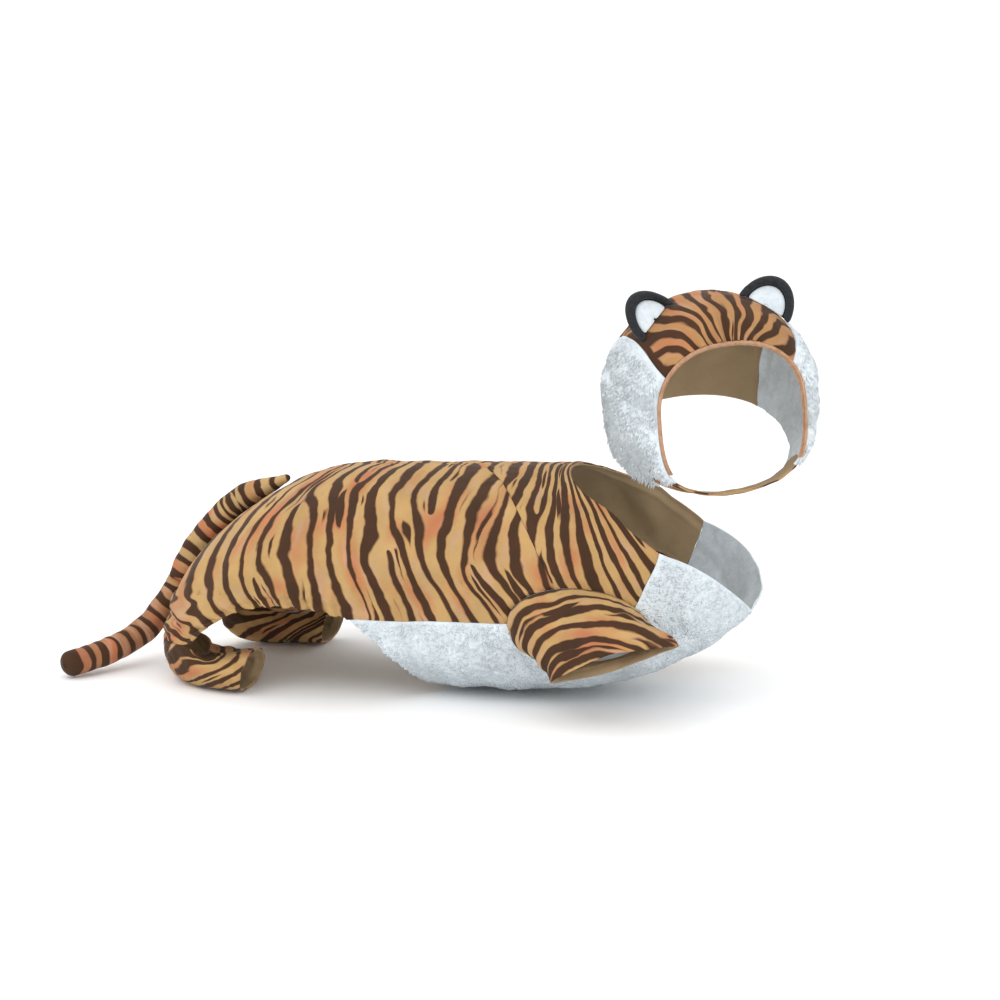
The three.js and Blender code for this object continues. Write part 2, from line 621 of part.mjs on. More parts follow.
function crownPanel() {
  const grid = [];
  for (let i = 0; i <= crownColumns; i += 1) {
    const u = (hoodLast * i) / crownColumns;
    const seamAngle = crownSeamAngle(u);
    grid.push(Array.from({ length: crownRows + 1 }, (_, j) => [u, seamAngle * (2 * j / crownRows - 1)]));
  }
  const relief = (i, j) => {
    const atBrow = smooth(1 - (crownColumns - i) / 3);
    const inMiddle = smooth((Math.min(j, crownRows - j) - 4) / 2.5);
    return crownGatherHeight * Math.cos(Math.PI * j) * atBrow * inMiddle;
  };
  return panelGeometry(hoodPoint, grid, { relief });
}

function hoodSide(side) {
  const grid = [];
  for (let i = 0; i <= crownColumns; i += 1) {
    const u = (hoodLast * i) / crownColumns;
    grid.push(Array.from({ length: hoodSideRows + 1 }, (_, j) => [
      u, mix(crownSeamAngle(u), chinDegrees * degrees, j / hoodSideRows),
    ]));
  }
  return panelGeometry(hoodPoint, grid, { side, lift: hoodSideLift, thickness: hoodSideThickness });
}

// The strap under the chin joins the two side panels.
const strapFrom = 1.2;
const strapTo = 6.8;
const strapColumns = 3;
const strapRows = 8;

function chinStrap() {
  const grid = [];
  for (let i = 0; i <= strapColumns; i += 1) {
    const u = mix(strapFrom, strapTo, i / strapColumns);
    grid.push(Array.from({ length: strapRows + 1 }, (_, j) => [
      u, mix(chinDegrees, 360 - chinDegrees, j / strapRows) * degrees,
    ]));
  }
  return panelGeometry(hoodPoint, grid);
}

// The binding round the face is a folded strip in front of the hood's edge.
const bindingDepth = 4;
const bindingThickness = 3;
const bindingDegrees = 126;
const bindingRows = 40;

function bindingPoint(u, v) {
  const edge = hoodPoint(hoodLast, v);
  const behind = hoodPoint(hoodLast - 0.3, v);
  return edge.clone().addScaledVector(edge.clone().sub(behind).normalize(), u);
}

function faceBinding() {
  const grid = [0, bindingDepth / 2, bindingDepth].map((u) => Array.from(
    { length: bindingRows + 1 }, (_, j) => [u, bindingDegrees * degrees * (2 * j / bindingRows - 1)],
  ));
  return panelGeometry(bindingPoint, grid, { lift: 0.4, thickness: bindingThickness });
}

// Ears: a black back with a padded rim round a half disc, and a white front set into the rim.
const earWidth = 60;
const earHeight = 35;
const earSteps = 12;
const earProfile = [
  { out: 0, height: -6 },
  { out: 0.4, height: -6.4 },
  { out: 0.75, height: -6.5 },
  { out: 0.92, height: -6 },
  { out: 1, height: -1 },
  { out: 0.97, height: 4 },
  { out: 0.86, height: 6.5 },
  { out: 0.74, height: 4.5 },
  { out: 0.7, height: 0 },
  { out: 0.68, height: -3 },
  { out: 0.36, height: -3 },
  { out: 0, height: -3 },
];
const earInnerProfile = [
  { out: 0, height: -2.6 },
  { out: 0.34, height: -2.6 },
  { out: 0.655, height: -2.6 },
  { out: 0.665, height: 0 },
  { out: 0.5, height: 1.6 },
  { out: 0, height: 2.2 },
];

// Where each ear's base runs over the crown, in the hood's own side view, and how the ear leans.
const earBase = { innerX: -21, innerZ: 102.9, outerX: 2, outerZ: 67.5 };
const earLean = { forward: -0.1, sideways: 0.75, up: 0.66 };
const earClear = 0.5;

// A half disc standing on the crown, turned from a profile: its base follows the cloth from out -1 to out 1.
function earGeometry(profile, side) {
  const inner = locate(hoodSections, [earBase.innerX, earBase.innerZ]);
  const outer = locate(hoodSections, [earBase.outerX, earBase.outerZ]);
  const middle = [0.5 * (inner[0] + outer[0]), 0.5 * (inner[1] + outer[1])];
  const onCrown = (t, du = 0, dv = 0) => hoodPoint(mix(inner[0], outer[0], t) + du, mix(inner[1], outer[1], t) + dv);
  const baseWay = onCrown(1).sub(onCrown(0));
  const base = baseWay.length();
  baseWay.normalize();
  const upWay = new THREE.Vector3(earLean.forward, right * earLean.sideways, earLean.up);
  upWay.addScaledVector(baseWay, -upWay.dot(baseWay)).normalize();
  const frontWay = upWay.clone().cross(baseWay).normalize();
  const normal = surfaceNormal(hoodPoint, ...middle);
  const alongU = hoodPoint(middle[0] + 0.1, middle[1]).sub(hoodPoint(middle[0] - 0.1, middle[1])).multiplyScalar(5);
  const alongV = hoodPoint(middle[0], middle[1] + 0.1).sub(hoodPoint(middle[0], middle[1] - 0.1)).multiplyScalar(5);
  const size = alongU.clone().cross(alongV).dot(normal);
  const perU = frontWay.clone().cross(alongV).dot(normal) / size;
  const perV = alongU.clone().cross(frontWay).dot(normal) / size;
  const points = [];
  const count = profile.length;
  for (let i = 0; i <= earSteps; i += 1) {
    const angle = (Math.PI * i) / earSteps;
    for (const { out, height } of profile) {
      const reach = out || 0.03;
      const across = 0.5 * (1 - (earWidth / base) * reach * Math.cos(angle));
      const point = onCrown(across, perU * height, perV * height)
        .addScaledVector(normal, earClear).addScaledVector(upWay, earHeight * reach * Math.sin(angle));
      points.push(new THREE.Vector3(point.x, side === left ? -point.y : point.y, point.z));
    }
  }
  const faces = [];
  for (let i = 0; i < earSteps; i += 1) {
    for (let j = 0; j < count; j += 1) {
      const k = (j + 1) % count;
      faces.push([i * count + j, (i + 1) * count + k, i * count + k]);
      faces.push([i * count + j, (i + 1) * count + j, (i + 1) * count + k]);
    }
  }
  const last = earSteps * count;
  for (let j = 0; j < count / 2 - 1; j += 1) {
    const across = count - 1 - j;
    faces.push([j, j + 1, across - 1], [j, across - 1, across]);
    faces.push([last + j, last + across - 1, last + j + 1], [last + j, last + across, last + across - 1]);
  }
  return meshGeometry(points, side === left ? faces.map(([a, b, c]) => [a, c, b]) : faces);
}

const suit = new THREE.Group();
const hood = new THREE.Group();
for (const [side, word] of [[right, 'right'], [left, 'left']]) {
  suit.add(piece(`back_${word}`, backPanel(side), 'tiger'));
  suit.add(piece(`shoulder_${word}`, shoulderPanel(side), 'tiger'));
  suit.add(piece(`sleeve_${word}`, sleeve(side), 'tiger'));
  suit.add(piece(`hind_leg_${word}`, hindLeg(side), 'tiger'));
  hood.add(piece(`hood_side_${word}`, hoodSide(side), 'whitePlush'));
  hood.add(piece(`ear_${word}`, earGeometry(earProfile, side), 'blackPlush'));
  hood.add(piece(`ear_front_${word}`, earGeometry(earInnerProfile, side), 'whitePlush'));
}
suit.add(piece('chest_panel', chestPanel(), 'whitePlush'));
suit.add(piece('belly_panel', bellyPanel(), 'whitePlush'));
suit.add(piece('tail', tail(), 'tiger'));
hood.add(piece('hood_crown', crownPanel(), 'tiger'));
hood.add(piece('chin_strap', chinStrap(), 'tiger'));
hood.add(piece('face_binding', faceBinding(), 'tigerEdge'));

hood.rotation.order = 'ZYX';
hood.rotation.set(hoodPlace.rollDegrees * degrees, -hoodPlace.pitchDegrees * degrees, hoodPlace.yawDegrees * degrees);
hood.position.set(hoodPlace.x, hoodPlace.y, hoodPlace.z);

const costume = new THREE.Group();
costume.add(suit, hood);
costume.position.set(-heldAt.x, 0, -heldAt.z);

export default costume;
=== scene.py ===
import math
import bpy
import numpy as np
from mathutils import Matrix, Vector


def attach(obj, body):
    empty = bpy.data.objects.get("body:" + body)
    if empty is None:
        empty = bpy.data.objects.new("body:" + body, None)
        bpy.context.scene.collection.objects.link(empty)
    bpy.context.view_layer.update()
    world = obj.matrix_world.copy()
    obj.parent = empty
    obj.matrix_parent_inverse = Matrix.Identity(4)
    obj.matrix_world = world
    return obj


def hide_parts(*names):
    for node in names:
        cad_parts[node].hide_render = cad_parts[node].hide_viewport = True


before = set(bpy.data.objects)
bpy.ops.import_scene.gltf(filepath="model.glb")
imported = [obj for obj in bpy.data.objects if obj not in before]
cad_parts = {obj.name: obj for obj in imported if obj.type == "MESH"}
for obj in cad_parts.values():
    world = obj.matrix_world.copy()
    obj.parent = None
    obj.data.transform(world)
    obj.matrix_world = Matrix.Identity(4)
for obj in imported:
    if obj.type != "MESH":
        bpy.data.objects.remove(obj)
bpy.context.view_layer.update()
print("frame loaded,", len(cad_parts), "nodes")

# Lengths are millimetres above the floor. In a mesh they become metres from the costume's mount.
metres = 0.001
heldAt = np.array([-15.0, 0.0, 230.6])
right = -1.0  # the costume's right side lies at negative y
sides = ("right", "left")
seamGap = 0.5
clothThickness = 2.4
hoodPlace = {"at": (300.0, -38.0, 316.0), "yaw": -56.0, "pitch": 3.0, "roll": 5.0}


def toMetres(points):
    return (np.asarray(points) - heldAt) * metres


# Camera
view = {"target": (70.0, 0.0, -33.6), "azimuth": 18.0, "elevation": 10.0, "distance": 2700.0, "lens": 92.57}


def setCamera():
    azimuth, elevation = math.radians(view["azimuth"]), math.radians(view["elevation"])
    back = Vector((math.sin(azimuth) * math.cos(elevation), -math.cos(azimuth) * math.cos(elevation),
                   math.sin(elevation)))
    camera = bpy.data.objects.new("camera", bpy.data.cameras.new("camera"))
    bpy.context.scene.collection.objects.link(camera)
    camera.data.lens = view["lens"]
    camera.data.clip_end = 100
    camera.location = (Vector(view["target"]) + back * view["distance"]) * metres
    camera.rotation_mode = "QUATERNION"
    camera.rotation_quaternion = (-back).to_track_quat("-Z", "Y")
    bpy.context.scene.camera = camera


setCamera()

# Colours and nodes


def linear(code):
    # An sRGB hex colour as the linear colour that a shader takes.
    parts = [int(code[i:i + 2], 16) / 255 for i in (0, 2, 4)]
    return [c / 12.92 if c <= 0.04045 else ((c + 0.055) / 1.055) ** 2.4 for c in parts] + [1.0]


def addNode(tree, kind, settings=None, links=None):
    # A node with its settings and links. A link gives an output, or a node whose first output is meant.
    # Sockets 1 to 4 of a map range are the ends taken and given, and 6 and 7 of a mix are its two colours.
    node = tree.nodes.new(kind)
    for key, value in (settings or {}).items():
        if isinstance(key, str) and hasattr(node, key):
            setattr(node, key, value)
        else:
            node.inputs[key].default_value = value
    for key, source in (links or {}).items():
        tree.links.new(getattr(source, "outputs", [source])[0], node.inputs[key])
    return node


def newMaterial(name):
    material = bpy.data.materials.new(name)
    material.use_nodes = True
    tree = material.node_tree
    tree.nodes.clear()
    return material, tree


# Surfaces

# Trunk sections: spine x and z, belly x and z, half width, fullness over and under.
trunkRows = np.array([
    (-308, 47, -120, 52, 140, 2.5, 2.4), (-303, 65, -118, 53, 141, 2.5, 2.4),
    (-295, 88, -118, 54, 141, 2.45, 2.4), (-279, 119, -118, 54, 140, 2.4, 2.4),
    (-253, 150, -116, 52, 140, 2.35, 2.4), (-221, 177, -110, 48, 140, 2.3, 2.4),
    (-185, 201, -102, 40, 139, 2.2, 2.4), (-147, 218, -90, 30, 137, 2.15, 2.5),
    (-106, 228, -72, 20, 132, 2.1, 2.6), (-60, 231, -45, 12, 126, 2.1, 2.8),
    (-15, 233, -8, 6, 121, 2.1, 2.9), (30, 235, 35, 4, 118, 2.1, 2.9), (72, 237, 85, 4, 118, 2.1, 2.7),
    (102, 238, 135, 8, 119, 2.1, 2.6), (121, 239, 190, 17, 119, 2.1, 2.5),
    (130, 239, 244, 36, 116, 2.1, 2.4), (136, 239, 292, 64, 108, 2.1, 2.35),
    (139, 239, 330, 99, 99, 2.1, 2.3), (141, 239, 352, 142, 94, 2.1, 2.3),
], float)
hoodRows = np.array([
    (-126, -4, 3, -91, 92, 2.2, 2.2), (-124, 30, 4, -91, 97, 2.2, 2.2), (-112, 64, 6, -91, 101, 2.2, 2.2),
    (-88, 93, 8, -92, 104, 2.2, 2.2), (-54, 109, 11, -92, 105, 2.15, 2.2),
    (-20, 107, 15, -92, 103, 2.1, 2.2), (8, 95, 19, -91, 98, 2.2, 2.2), (25, 78, 22, -89, 90, 2.3, 2.6),
    (33, 63, 25, -87, 79, 2.35, 3.2),
], float)

# Folds in side view: the line each follows, half its width and how far it stands out. The first thirteen are
# the part's own, and the rest are finer ones that the cloth shows between them.
trunkFolds = np.array([
    (20, 222, 96, 150, 15, 4), (62, 196, 100, 118, 13, -3.5), (150, 215, 172, 150, 14, 3),
    (186, 196, 206, 140, 12, -3), (-40, 205, -20, 110, 20, 3), (-98, 190, -92, 120, 18, -3),
    (-160, 175, -205, 105, 16, 3.5), (-205, 160, -246, 82, 14, -3.5), (-285, 88, -235, 78, 9, 3.5),
    (-294, 68, -240, 62, 8, -3), (10, 64, 60, 30, 16, 3), (96, 62, 130, 24, 14, -3),
    (262, 138, 290, 80, 13, 3), (92, 150, 62, 128, 5, -1.6), (120, 176, 96, 168, 4.5, -1.4),
    (166, 168, 150, 140, 5, -1.6), (190, 150, 172, 136, 4.5, 1.4), (228, 152, 214, 126, 5, -1.5),
    (46, 226, 70, 190, 6, -1.5), (-262, 92, -222, 84, 4.5, -1.6), (-280, 78, -236, 70, 4, 1.6),
    (-250, 118, -222, 92, 6, -1.6), (-128, 134, -122, 104, 7, -1.3), (-66, 130, -58, 98, 7, 1.3),
    (-10, 126, 0, 96, 7, -1.2), (40, 132, 52, 96, 7, 1.3),
], float)


def smooth(t):
    k = np.clip(t, 0, 1)
    return k * k * (3 - 2 * k)


def ridge(distance, height, at, width):
    # A soft ridge at a distance from an edge, or a valley where the height is below 0.
    return height * np.exp(-((distance - at) / width) ** 2)


def raised(points, normals, height):
    return points + normals * height[..., None]


def rowValue(rows, column, u):
    values = rows[:, column]
    last = len(values) - 1
    i = np.clip(np.floor(u).astype(int), 0, last - 1)
    t = u - i
    b, c = values[i], values[i + 1]
    a = np.where(i > 0, values[np.maximum(i - 1, 0)], 2 * b - c)
    d = np.where(i + 2 <= last, values[np.minimum(i + 2, last)], 2 * c - b)
    return b + 0.5 * t * (c - a + t * (2 * a - 5 * b + 4 * c - d + t * (3 * (b - c) + d - a)))


def sectionReach(rows, u, v):
    share = smooth(0.5 - 0.5 * np.cos(v))
    fullness = rowValue(rows, 5, u) * (1 - share) + rowValue(rows, 6, u) * share
    return (np.abs(np.cos(v)) ** fullness + np.abs(np.sin(v)) ** fullness) ** (-1 / fullness)


def sectionPoint(rows, u, v):
    # A point of a sectioned surface at section u and angle v from its top, on its right side for v above 0.
    u, v = np.broadcast_arrays(np.asarray(u, float), np.asarray(v, float))
    topX, topZ, lowX, lowZ, halfWidth = (rowValue(rows, k, u) for k in range(5))
    reach = sectionReach(rows, u, v)
    along = np.cos(v) * reach
    return np.stack([(topX + lowX) / 2 + (topX - lowX) / 2 * along, right * halfWidth * np.sin(v) * reach,
                     (topZ + lowZ) / 2 + (topZ - lowZ) / 2 * along], -1)


def unit(vectors):
    return vectors / np.maximum(np.linalg.norm(vectors, axis=-1, keepdims=True), 1e-12)


def surfaceNormal(pointAt, u, v, step=0.01):
    alongU = pointAt(u + step, v) - pointAt(u - step, v)
    alongV = pointAt(u, v + step) - pointAt(u, v - step)
    return unit(np.cross(alongV, alongU))


def trunkBase(u, v):
    return sectionPoint(trunkRows, u, v)


def trunkPoint(u, v):
    point = trunkBase(u, v)
    x, z = point[..., 0], point[..., 2]
    height = np.zeros(x.shape)
    for fromX, fromZ, toX, toZ, halfWidth, tall in trunkFolds:
        dx, dz = toX - fromX, toZ - fromZ
        along = ((x - fromX) * dx + (z - fromZ) * dz) / (dx * dx + dz * dz)
        off = np.hypot(x - fromX - dx * along, z - fromZ - dz * along)
        height += tall * smooth(1.25 - np.abs(along - 0.5) * 2) * np.exp(-(off / halfWidth) ** 2)
    height *= smooth(np.abs(np.sin(v)) * 2.5)
    return raised(point, surfaceNormal(trunkBase, u, v), height)


hoodYaw, hoodPitch, hoodRoll = (math.radians(hoodPlace[k]) for k in ("yaw", "pitch", "roll"))


def turned(a, b, angle):
    return a * math.cos(angle) - b * math.sin(angle), a * math.sin(angle) + b * math.cos(angle)


def turnHood(points):
    # From the hood's own frame to the floor's: rolled, then pitched, then turned to the side.
    x, y, z = np.moveaxis(np.asarray(points, float), -1, 0)
    y, z = turned(y, z, hoodRoll)
    x, z = turned(x, z, hoodPitch)
    x, y = turned(x, y, hoodYaw)
    return np.stack([x, y, z], -1)


def hoodLocal(u, v):
    return sectionPoint(hoodRows, u, v)


def hoodPoint(u, v):
    return turnHood(hoodLocal(u, v)) + np.array(hoodPlace["at"])


def locate(rows, points):
    # Section and angle of a sectioned surface's right side at points of its side view.
    x, z = np.asarray(points, float).T

    def side(u):
        topX, topZ, lowX, lowZ = (rowValue(rows, k, u) for k in range(4))
        return (topX - lowX) * (z - lowZ) - (topZ - lowZ) * (x - lowX) > 0

    steps = np.arange(len(rows) - 1, -0.25, -0.5)
    signs = np.array([side(np.full(len(x), u)) for u in steps])
    changed = signs != signs[0]
    found = np.where(changed.any(0), changed.argmax(0), len(steps) - 1)
    high, low = steps[found] + 0.5, steps[found]
    for _ in range(40):
        middle = (high + low) / 2
        same = side(middle) == signs[0]
        high, low = np.where(same, middle, high), np.where(same, low, middle)
    u = (high + low) / 2
    topX, topZ, lowX, lowZ = (rowValue(rows, k, u) for k in range(4))
    halfX, halfZ = (topX - lowX) / 2, (topZ - lowZ) / 2
    along = ((x - topX + halfX) * halfX + (z - topZ + halfZ) * halfZ) / (halfX ** 2 + halfZ ** 2)
    first, last = np.zeros(len(x)), np.full(len(x), math.pi)
    for _ in range(40):
        middle = (first + last) / 2
        above = np.cos(middle) * sectionReach(rows, u, middle) > along
        first, last = np.where(above, middle, first), np.where(above, last, middle)
    v = np.where(along >= 1, 0, np.where(along <= -1, math.pi, (first + last) / 2))
    return np.stack([u, v], -1)


def splinePoints(points, t):
    # A smooth curve through points of a plane, at shares t of its count of points.
    points = np.asarray(points, float)
    last = len(points) - 1
    at = np.clip(t, 0, 1) * last
    i = np.minimum(np.floor(at).astype(int), last)
    w = (at - i)[:, None]
    p0, p1 = points[np.maximum(i - 1, 0)], points[i]
    p2, p3 = points[np.minimum(i + 1, last)], points[np.minimum(i + 2, last)]
    v0, v1 = (p2 - p0) / 2, (p3 - p1) / 2
    return (2 * p1 - 2 * p2 + v0 + v1) * w ** 3 + (-3 * p1 + 3 * p2 - 2 * v0 - v1) * w ** 2 + v0 * w + p1


def evened(line, points, count):
    # The same line with its points evenly spaced in space.
    lengths = np.concatenate([[0], np.cumsum(np.linalg.norm(np.diff(points, axis=0), axis=1))])
    at = np.linspace(0, lengths[-1], count + 1)
    return np.stack([np.interp(at, lengths, line[:, k]) for k in range(line.shape[1])], -1)


def seamLine(points, count=240):
    line = splinePoints(locate(trunkRows, points), np.linspace(0, 1, 241))
    return evened(line, trunkBase(line[:, 0], line[:, 1]), count)


def curvePoints(points, t, closed):
    # A centripetal curve through points in space.
    points = np.asarray(points, float)
    count = len(points)
    at = np.asarray(t, float) * (count if closed else count - 1)
    i = np.floor(at).astype(int)
    if not closed:
        i = np.minimum(i, count - 2)
    w = (at - i)[:, None]
    if closed:
        p0, p1, p2, p3 = (points[(i + k) % count] for k in (-1, 0, 1, 2))
    else:
        padded = np.vstack([2 * points[0] - points[1], points, 2 * points[-1] - points[-2]])
        p0, p1, p2, p3 = (padded[i + 1 + k] for k in (-1, 0, 1, 2))
    d0, d1, d2 = (np.sqrt(np.linalg.norm(b - a, axis=1))[:, None] for a, b in ((p0, p1), (p1, p2), (p2, p3)))
    t1 = ((p1 - p0) / d0 - (p2 - p0) / (d0 + d1) + (p2 - p1) / d1) * d1
    t2 = ((p2 - p1) / d1 - (p3 - p1) / (d1 + d2) + (p3 - p2) / d2) * d1
    return p1 + t1 * w + (-3 * p1 + 3 * p2 - 2 * t1 - t2) * w ** 2 + (2 * p1 - 2 * p2 + t1 + t2) * w ** 3


# Seam and hem lines of the suit's right half, in side view
seams = {
    "raglan": [(29, 240), (78, 224), (112, 192), (136, 158), (150.6, 131.1)],
    "neck": [(136, 239.2), (186, 214), (220, 192), (252, 170)],
    "neckFront": [(252, 170), (279, 160), (303, 145), (324, 123), (334, 90)],
    "chest": [(252, 170), (242, 141), (231, 115.5)],
    "side": [(100, 92), (19, 89), (-67, 87)],
    "thigh": [(-67, 87), (-100, 94), (-137, 97), (-170, 94), (-202, 82), (-226, 66), (-241, 51.5)],
    "belly": [(172, 51), (178, 26), (184, -4)],
    "bellyHem": [(-67, 87), (-42, 62), (-20, 32), (0, 10), (10, 0)],
}
armhole = {"x": 172, "z": 92, "halfLength": 72, "halfHeight": 41}
meets = {"raglan": 107.3, "side": 180.0, "belly": 270.0, "chest": 35.0}


def armholeAt(degrees, grow=0.0):
    # Section and angle of the trunk at angles round the armhole, or round one that is larger all round.
    angle = np.radians(degrees)
    return locate(trunkRows, np.stack([armhole["x"] + (armhole["halfLength"] + grow) * np.cos(angle),
                                       armhole["z"] + (armhole["halfHeight"] + grow) * np.sin(angle)], -1))


def armholeLine(fromDegrees, toDegrees, count=120):
    return armholeAt(np.linspace(fromDegrees, toDegrees, count + 1))


lines = {name: seamLine(points) for name, points in seams.items()}
lines["armRear"] = armholeLine(meets["raglan"], meets["side"])
lines["armTop"] = armholeLine(meets["raglan"], meets["chest"])
lines["armFront"] = armholeLine(meets["chest"], meets["belly"] - 360)
lines["armUnder"] = armholeLine(meets["belly"], meets["side"])
for name in ("raglan", "neck"):
    lines[name][0, 1] = 0.0
print("seam lines placed")


def edge(*parts):
    # One edge of a panel, from lines and the share of the edge that each takes.
    total = sum(share for _, share in parts)
    at, points, done = [], [], 0
    for line, share in parts:
        spread = np.linspace(done, done + share, len(line)) / total
        at.extend(spread[1:] if at else spread)
        points.extend(line[1:] if points else line)
        done += share
    at, points = np.array(at), np.array(points)
    return lambda t: np.stack([np.interp(t, at, points[:, k]) for k in (0, 1)], -1)


def mirrored(line):
    return np.stack([line[:, 0], 2 * math.pi - line[:, 1]], -1)


def straight(a, b):
    return np.array([a, b], float)


def patch(start, end, near, far, s, t):
    # Section and angle over a four-sided panel, from its edges.
    corner = {(a, b): (end if a else start)(np.array([float(b)]))[0] for a in (0, 1) for b in (0, 1)}
    column, row = s[:, None, None], t[None, :, None]
    across = start(t)[None] * (1 - column) + end(t)[None] * column
    along = near(s)[:, None] * (1 - row) + far(s)[:, None] * row
    nearCorners = corner[0, 0] * (1 - column) + corner[1, 0] * column
    farCorners = corner[0, 1] * (1 - column) + corner[1, 1] * column
    return across + along - nearCorners * (1 - row) - farCorners * row


def spread(count, tight=0.22):
    # Even shares from 0 to 1 with one more close to each end, so that cut edges stay round.
    even = np.linspace(0, 1, count + 1)
    return np.concatenate([[0, tight / count], even[1:-1], [1 - tight / count, 1]])


def gridShares(columns, rows):
    return np.meshgrid(spread(columns), spread(rows), indexing="ij")


def softNoise(points, size, seed, count=14):
    # Smooth uneven values from about -1 to 1, with bumps of about the given size.
    random = np.random.default_rng(seed)
    waves = random.normal(size=(count, 3))
    waves *= (2 * math.pi / size) * (random.uniform(0.6, 1.4, count) / np.linalg.norm(waves, axis=1))[:, None]
    phases = random.uniform(0, 2 * math.pi, count)
    total = np.zeros(points.shape[:-1])
    for wave, phase in zip(waves, phases):
        total += np.sin(points @ wave + phase)
    return total * math.sqrt(2 / count) * 0.7


def bumps(points, layers):
    # Uneven height from layers of noise, each with its height, its size and its seed.
    return sum(height * softNoise(points, size, seed) for height, size, seed in layers)


# Meshes


def gridFaces(columns, rows, first=0, around=False):
    i, j = np.meshgrid(np.arange(columns - 1), np.arange(rows if around else rows - 1), indexing="ij")
    k = (j + 1) % rows
    return np.stack([first + i * rows + j, first + i * rows + k, first + (i + 1) * rows + k,
                     first + (i + 1) * rows + j], -1).reshape(-1, 4)


def makeMesh(name, points, faces, charts=None):
    # A smooth mesh from points above the floor. charts are values that a material reads at each point.
    mesh = bpy.data.meshes.new(name)
    points = toMetres(points)
    faces = [np.asarray(part) for part in (faces if isinstance(faces, list) else [faces])]
    mesh.vertices.add(len(points))
    mesh.vertices.foreach_set("co", points.astype(np.float32).ravel())
    sizes = np.concatenate([np.full(len(part), part.shape[1]) for part in faces])
    mesh.loops.add(int(sizes.sum()))
    mesh.loops.foreach_set("vertex_index", np.concatenate([part.ravel() for part in faces]).astype(np.int32))
    mesh.polygons.add(len(sizes))
    mesh.polygons.foreach_set("loop_start", np.concatenate([[0], np.cumsum(sizes)[:-1]]).astype(np.int32))
    mesh.update(calc_edges=True)
    mesh.validate()
    mesh.polygons.foreach_set("use_smooth", np.ones(len(mesh.polygons), bool))
    for key, values in (charts or {}).items():
        mesh.attributes.new(key, "FLOAT_VECTOR", "POINT").data.foreach_set(
            "vector", np.asarray(values, np.float32).ravel())
    obj = bpy.data.objects.new(name, mesh)
    bpy.context.scene.collection.objects.link(obj)
    return obj


def mirrorPoints(points, side):
    return points * np.array([1.0, 1.0 if side == "right" else -1.0, 1.0])


def drawnIn(points):
    # A grid with its cut edges drawn in, so that neighbouring pieces stand a seam gap apart.
    drawn = points.copy()
    for cut, inner in ((0, 1), (-1, -2)):
        drawn[cut] += unit(points[inner] - points[cut]) * seamGap / 2
        drawn[:, cut] += unit(points[:, inner] - points[:, cut]) * seamGap / 2
    return drawn


# The third value of a print chart is a seed. A left panel and the cloth's wrong side add these to it.
leftSeed = 40.0
wrongSideSeed = 1000.0


def printChart(across, along, seed, side="right"):
    # Where each point lies in the print: across its stripes and along them, both in stripe spacings.
    return np.stack([across, along, np.full(across.shape, seed + (leftSeed if side == "left" else 0.0))], -1)


def clothWall(name, points, normals, chart=None, side="right", thickness=clothThickness, bulge=0.2,
              seam=None):
    # A closed sheet from a grid of points: its face, its wrong side and a rounded edge all round.
    outer = drawnIn(points)
    inner = outer - normals * thickness
    columns, rows = outer.shape[:2]
    loop = ([(i, 0) for i in range(columns)] + [(columns - 1, j) for j in range(1, rows)]
            + [(i, rows - 1) for i in range(columns - 2, -1, -1)] + [(0, j) for j in range(rows - 2, 0, -1)])
    li, lj = np.array(loop).T
    ii, jj = np.clip(li, 1, columns - 2), np.clip(lj, 1, rows - 2)
    rim = (outer[li, lj] + inner[li, lj]) / 2 + unit(outer[li, lj] - outer[ii, jj]) * bulge
    size = columns * rows
    at = li * rows + lj
    nextAt = np.roll(at, -1)
    ring = 2 * size + np.arange(len(at))
    nextRing = np.roll(ring, -1)
    faces = np.vstack([
        gridFaces(columns, rows), gridFaces(columns, rows, size)[:, ::-1],
        np.stack([at, nextAt, nextRing, ring], -1), np.stack([ring, nextRing, nextAt + size, at + size], -1),
    ])
    if side == "left":
        faces = faces[:, ::-1]
    flat = (np.zeros(points.shape) if chart is None else chart).reshape(-1, 3)
    charts = {"print": np.vstack([flat, flat + [0, 0, wrongSideSeed], flat[at]])}
    if seam is not None:
        beside = seam.reshape(-1, 3)
        charts["seam"] = np.vstack([beside, beside, beside[at]])
    verts = np.vstack([outer.reshape(-1, 3), inner.reshape(-1, 3), rim])
    return makeMesh(name, mirrorPoints(verts, side), faces, charts)


def lengthsAlong(points, axis):
    steps = np.linalg.norm(np.diff(points, axis=axis), axis=-1)
    zero = np.zeros_like(np.take(steps, [0], axis=axis))
    return np.concatenate([zero, np.cumsum(steps, axis=axis)], axis=axis)


def nearEdge(points, edges):
    # Distance in the cloth from the nearest of the named edges of a grid.
    across, down = lengthsAlong(points, 0), lengthsAlong(points, 1)
    found = np.full(points.shape[:2], 1e9)
    for name in edges:
        gap = {"start": across, "end": across[-1:] - across, "near": down, "far": down[:, -1:] - down}[name]
        found = np.minimum(found, gap)
    return found


def addPiece(obj, material, replaces=()):
    obj.data.materials.append(material)
    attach(obj, "root")
    if replaces:
        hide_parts(*replaces)
    return obj


# Materials

# Brushed polyester velboa with a printed tiger stripe: a short even pile, matt with a faint sheen where it is
# seen at a low angle.
velboa = {
    "ground": "B48C56", "groundLight": "B49666", "blotch": "B67040", "blotchPink": "AF6650", "edge": "683E27",
    "stripe": "392614", "stripeBrown": "482C1A", "paleSheen": "B8937A", "wrongSide": "A58E6E", "dusky": "9E6E4D",
    "roughness": 0.86, "ior": 1.46, "specular": 0.3, "sheen": 0.05, "pileMillimetres": 1.1, "bump": 0.3,
}
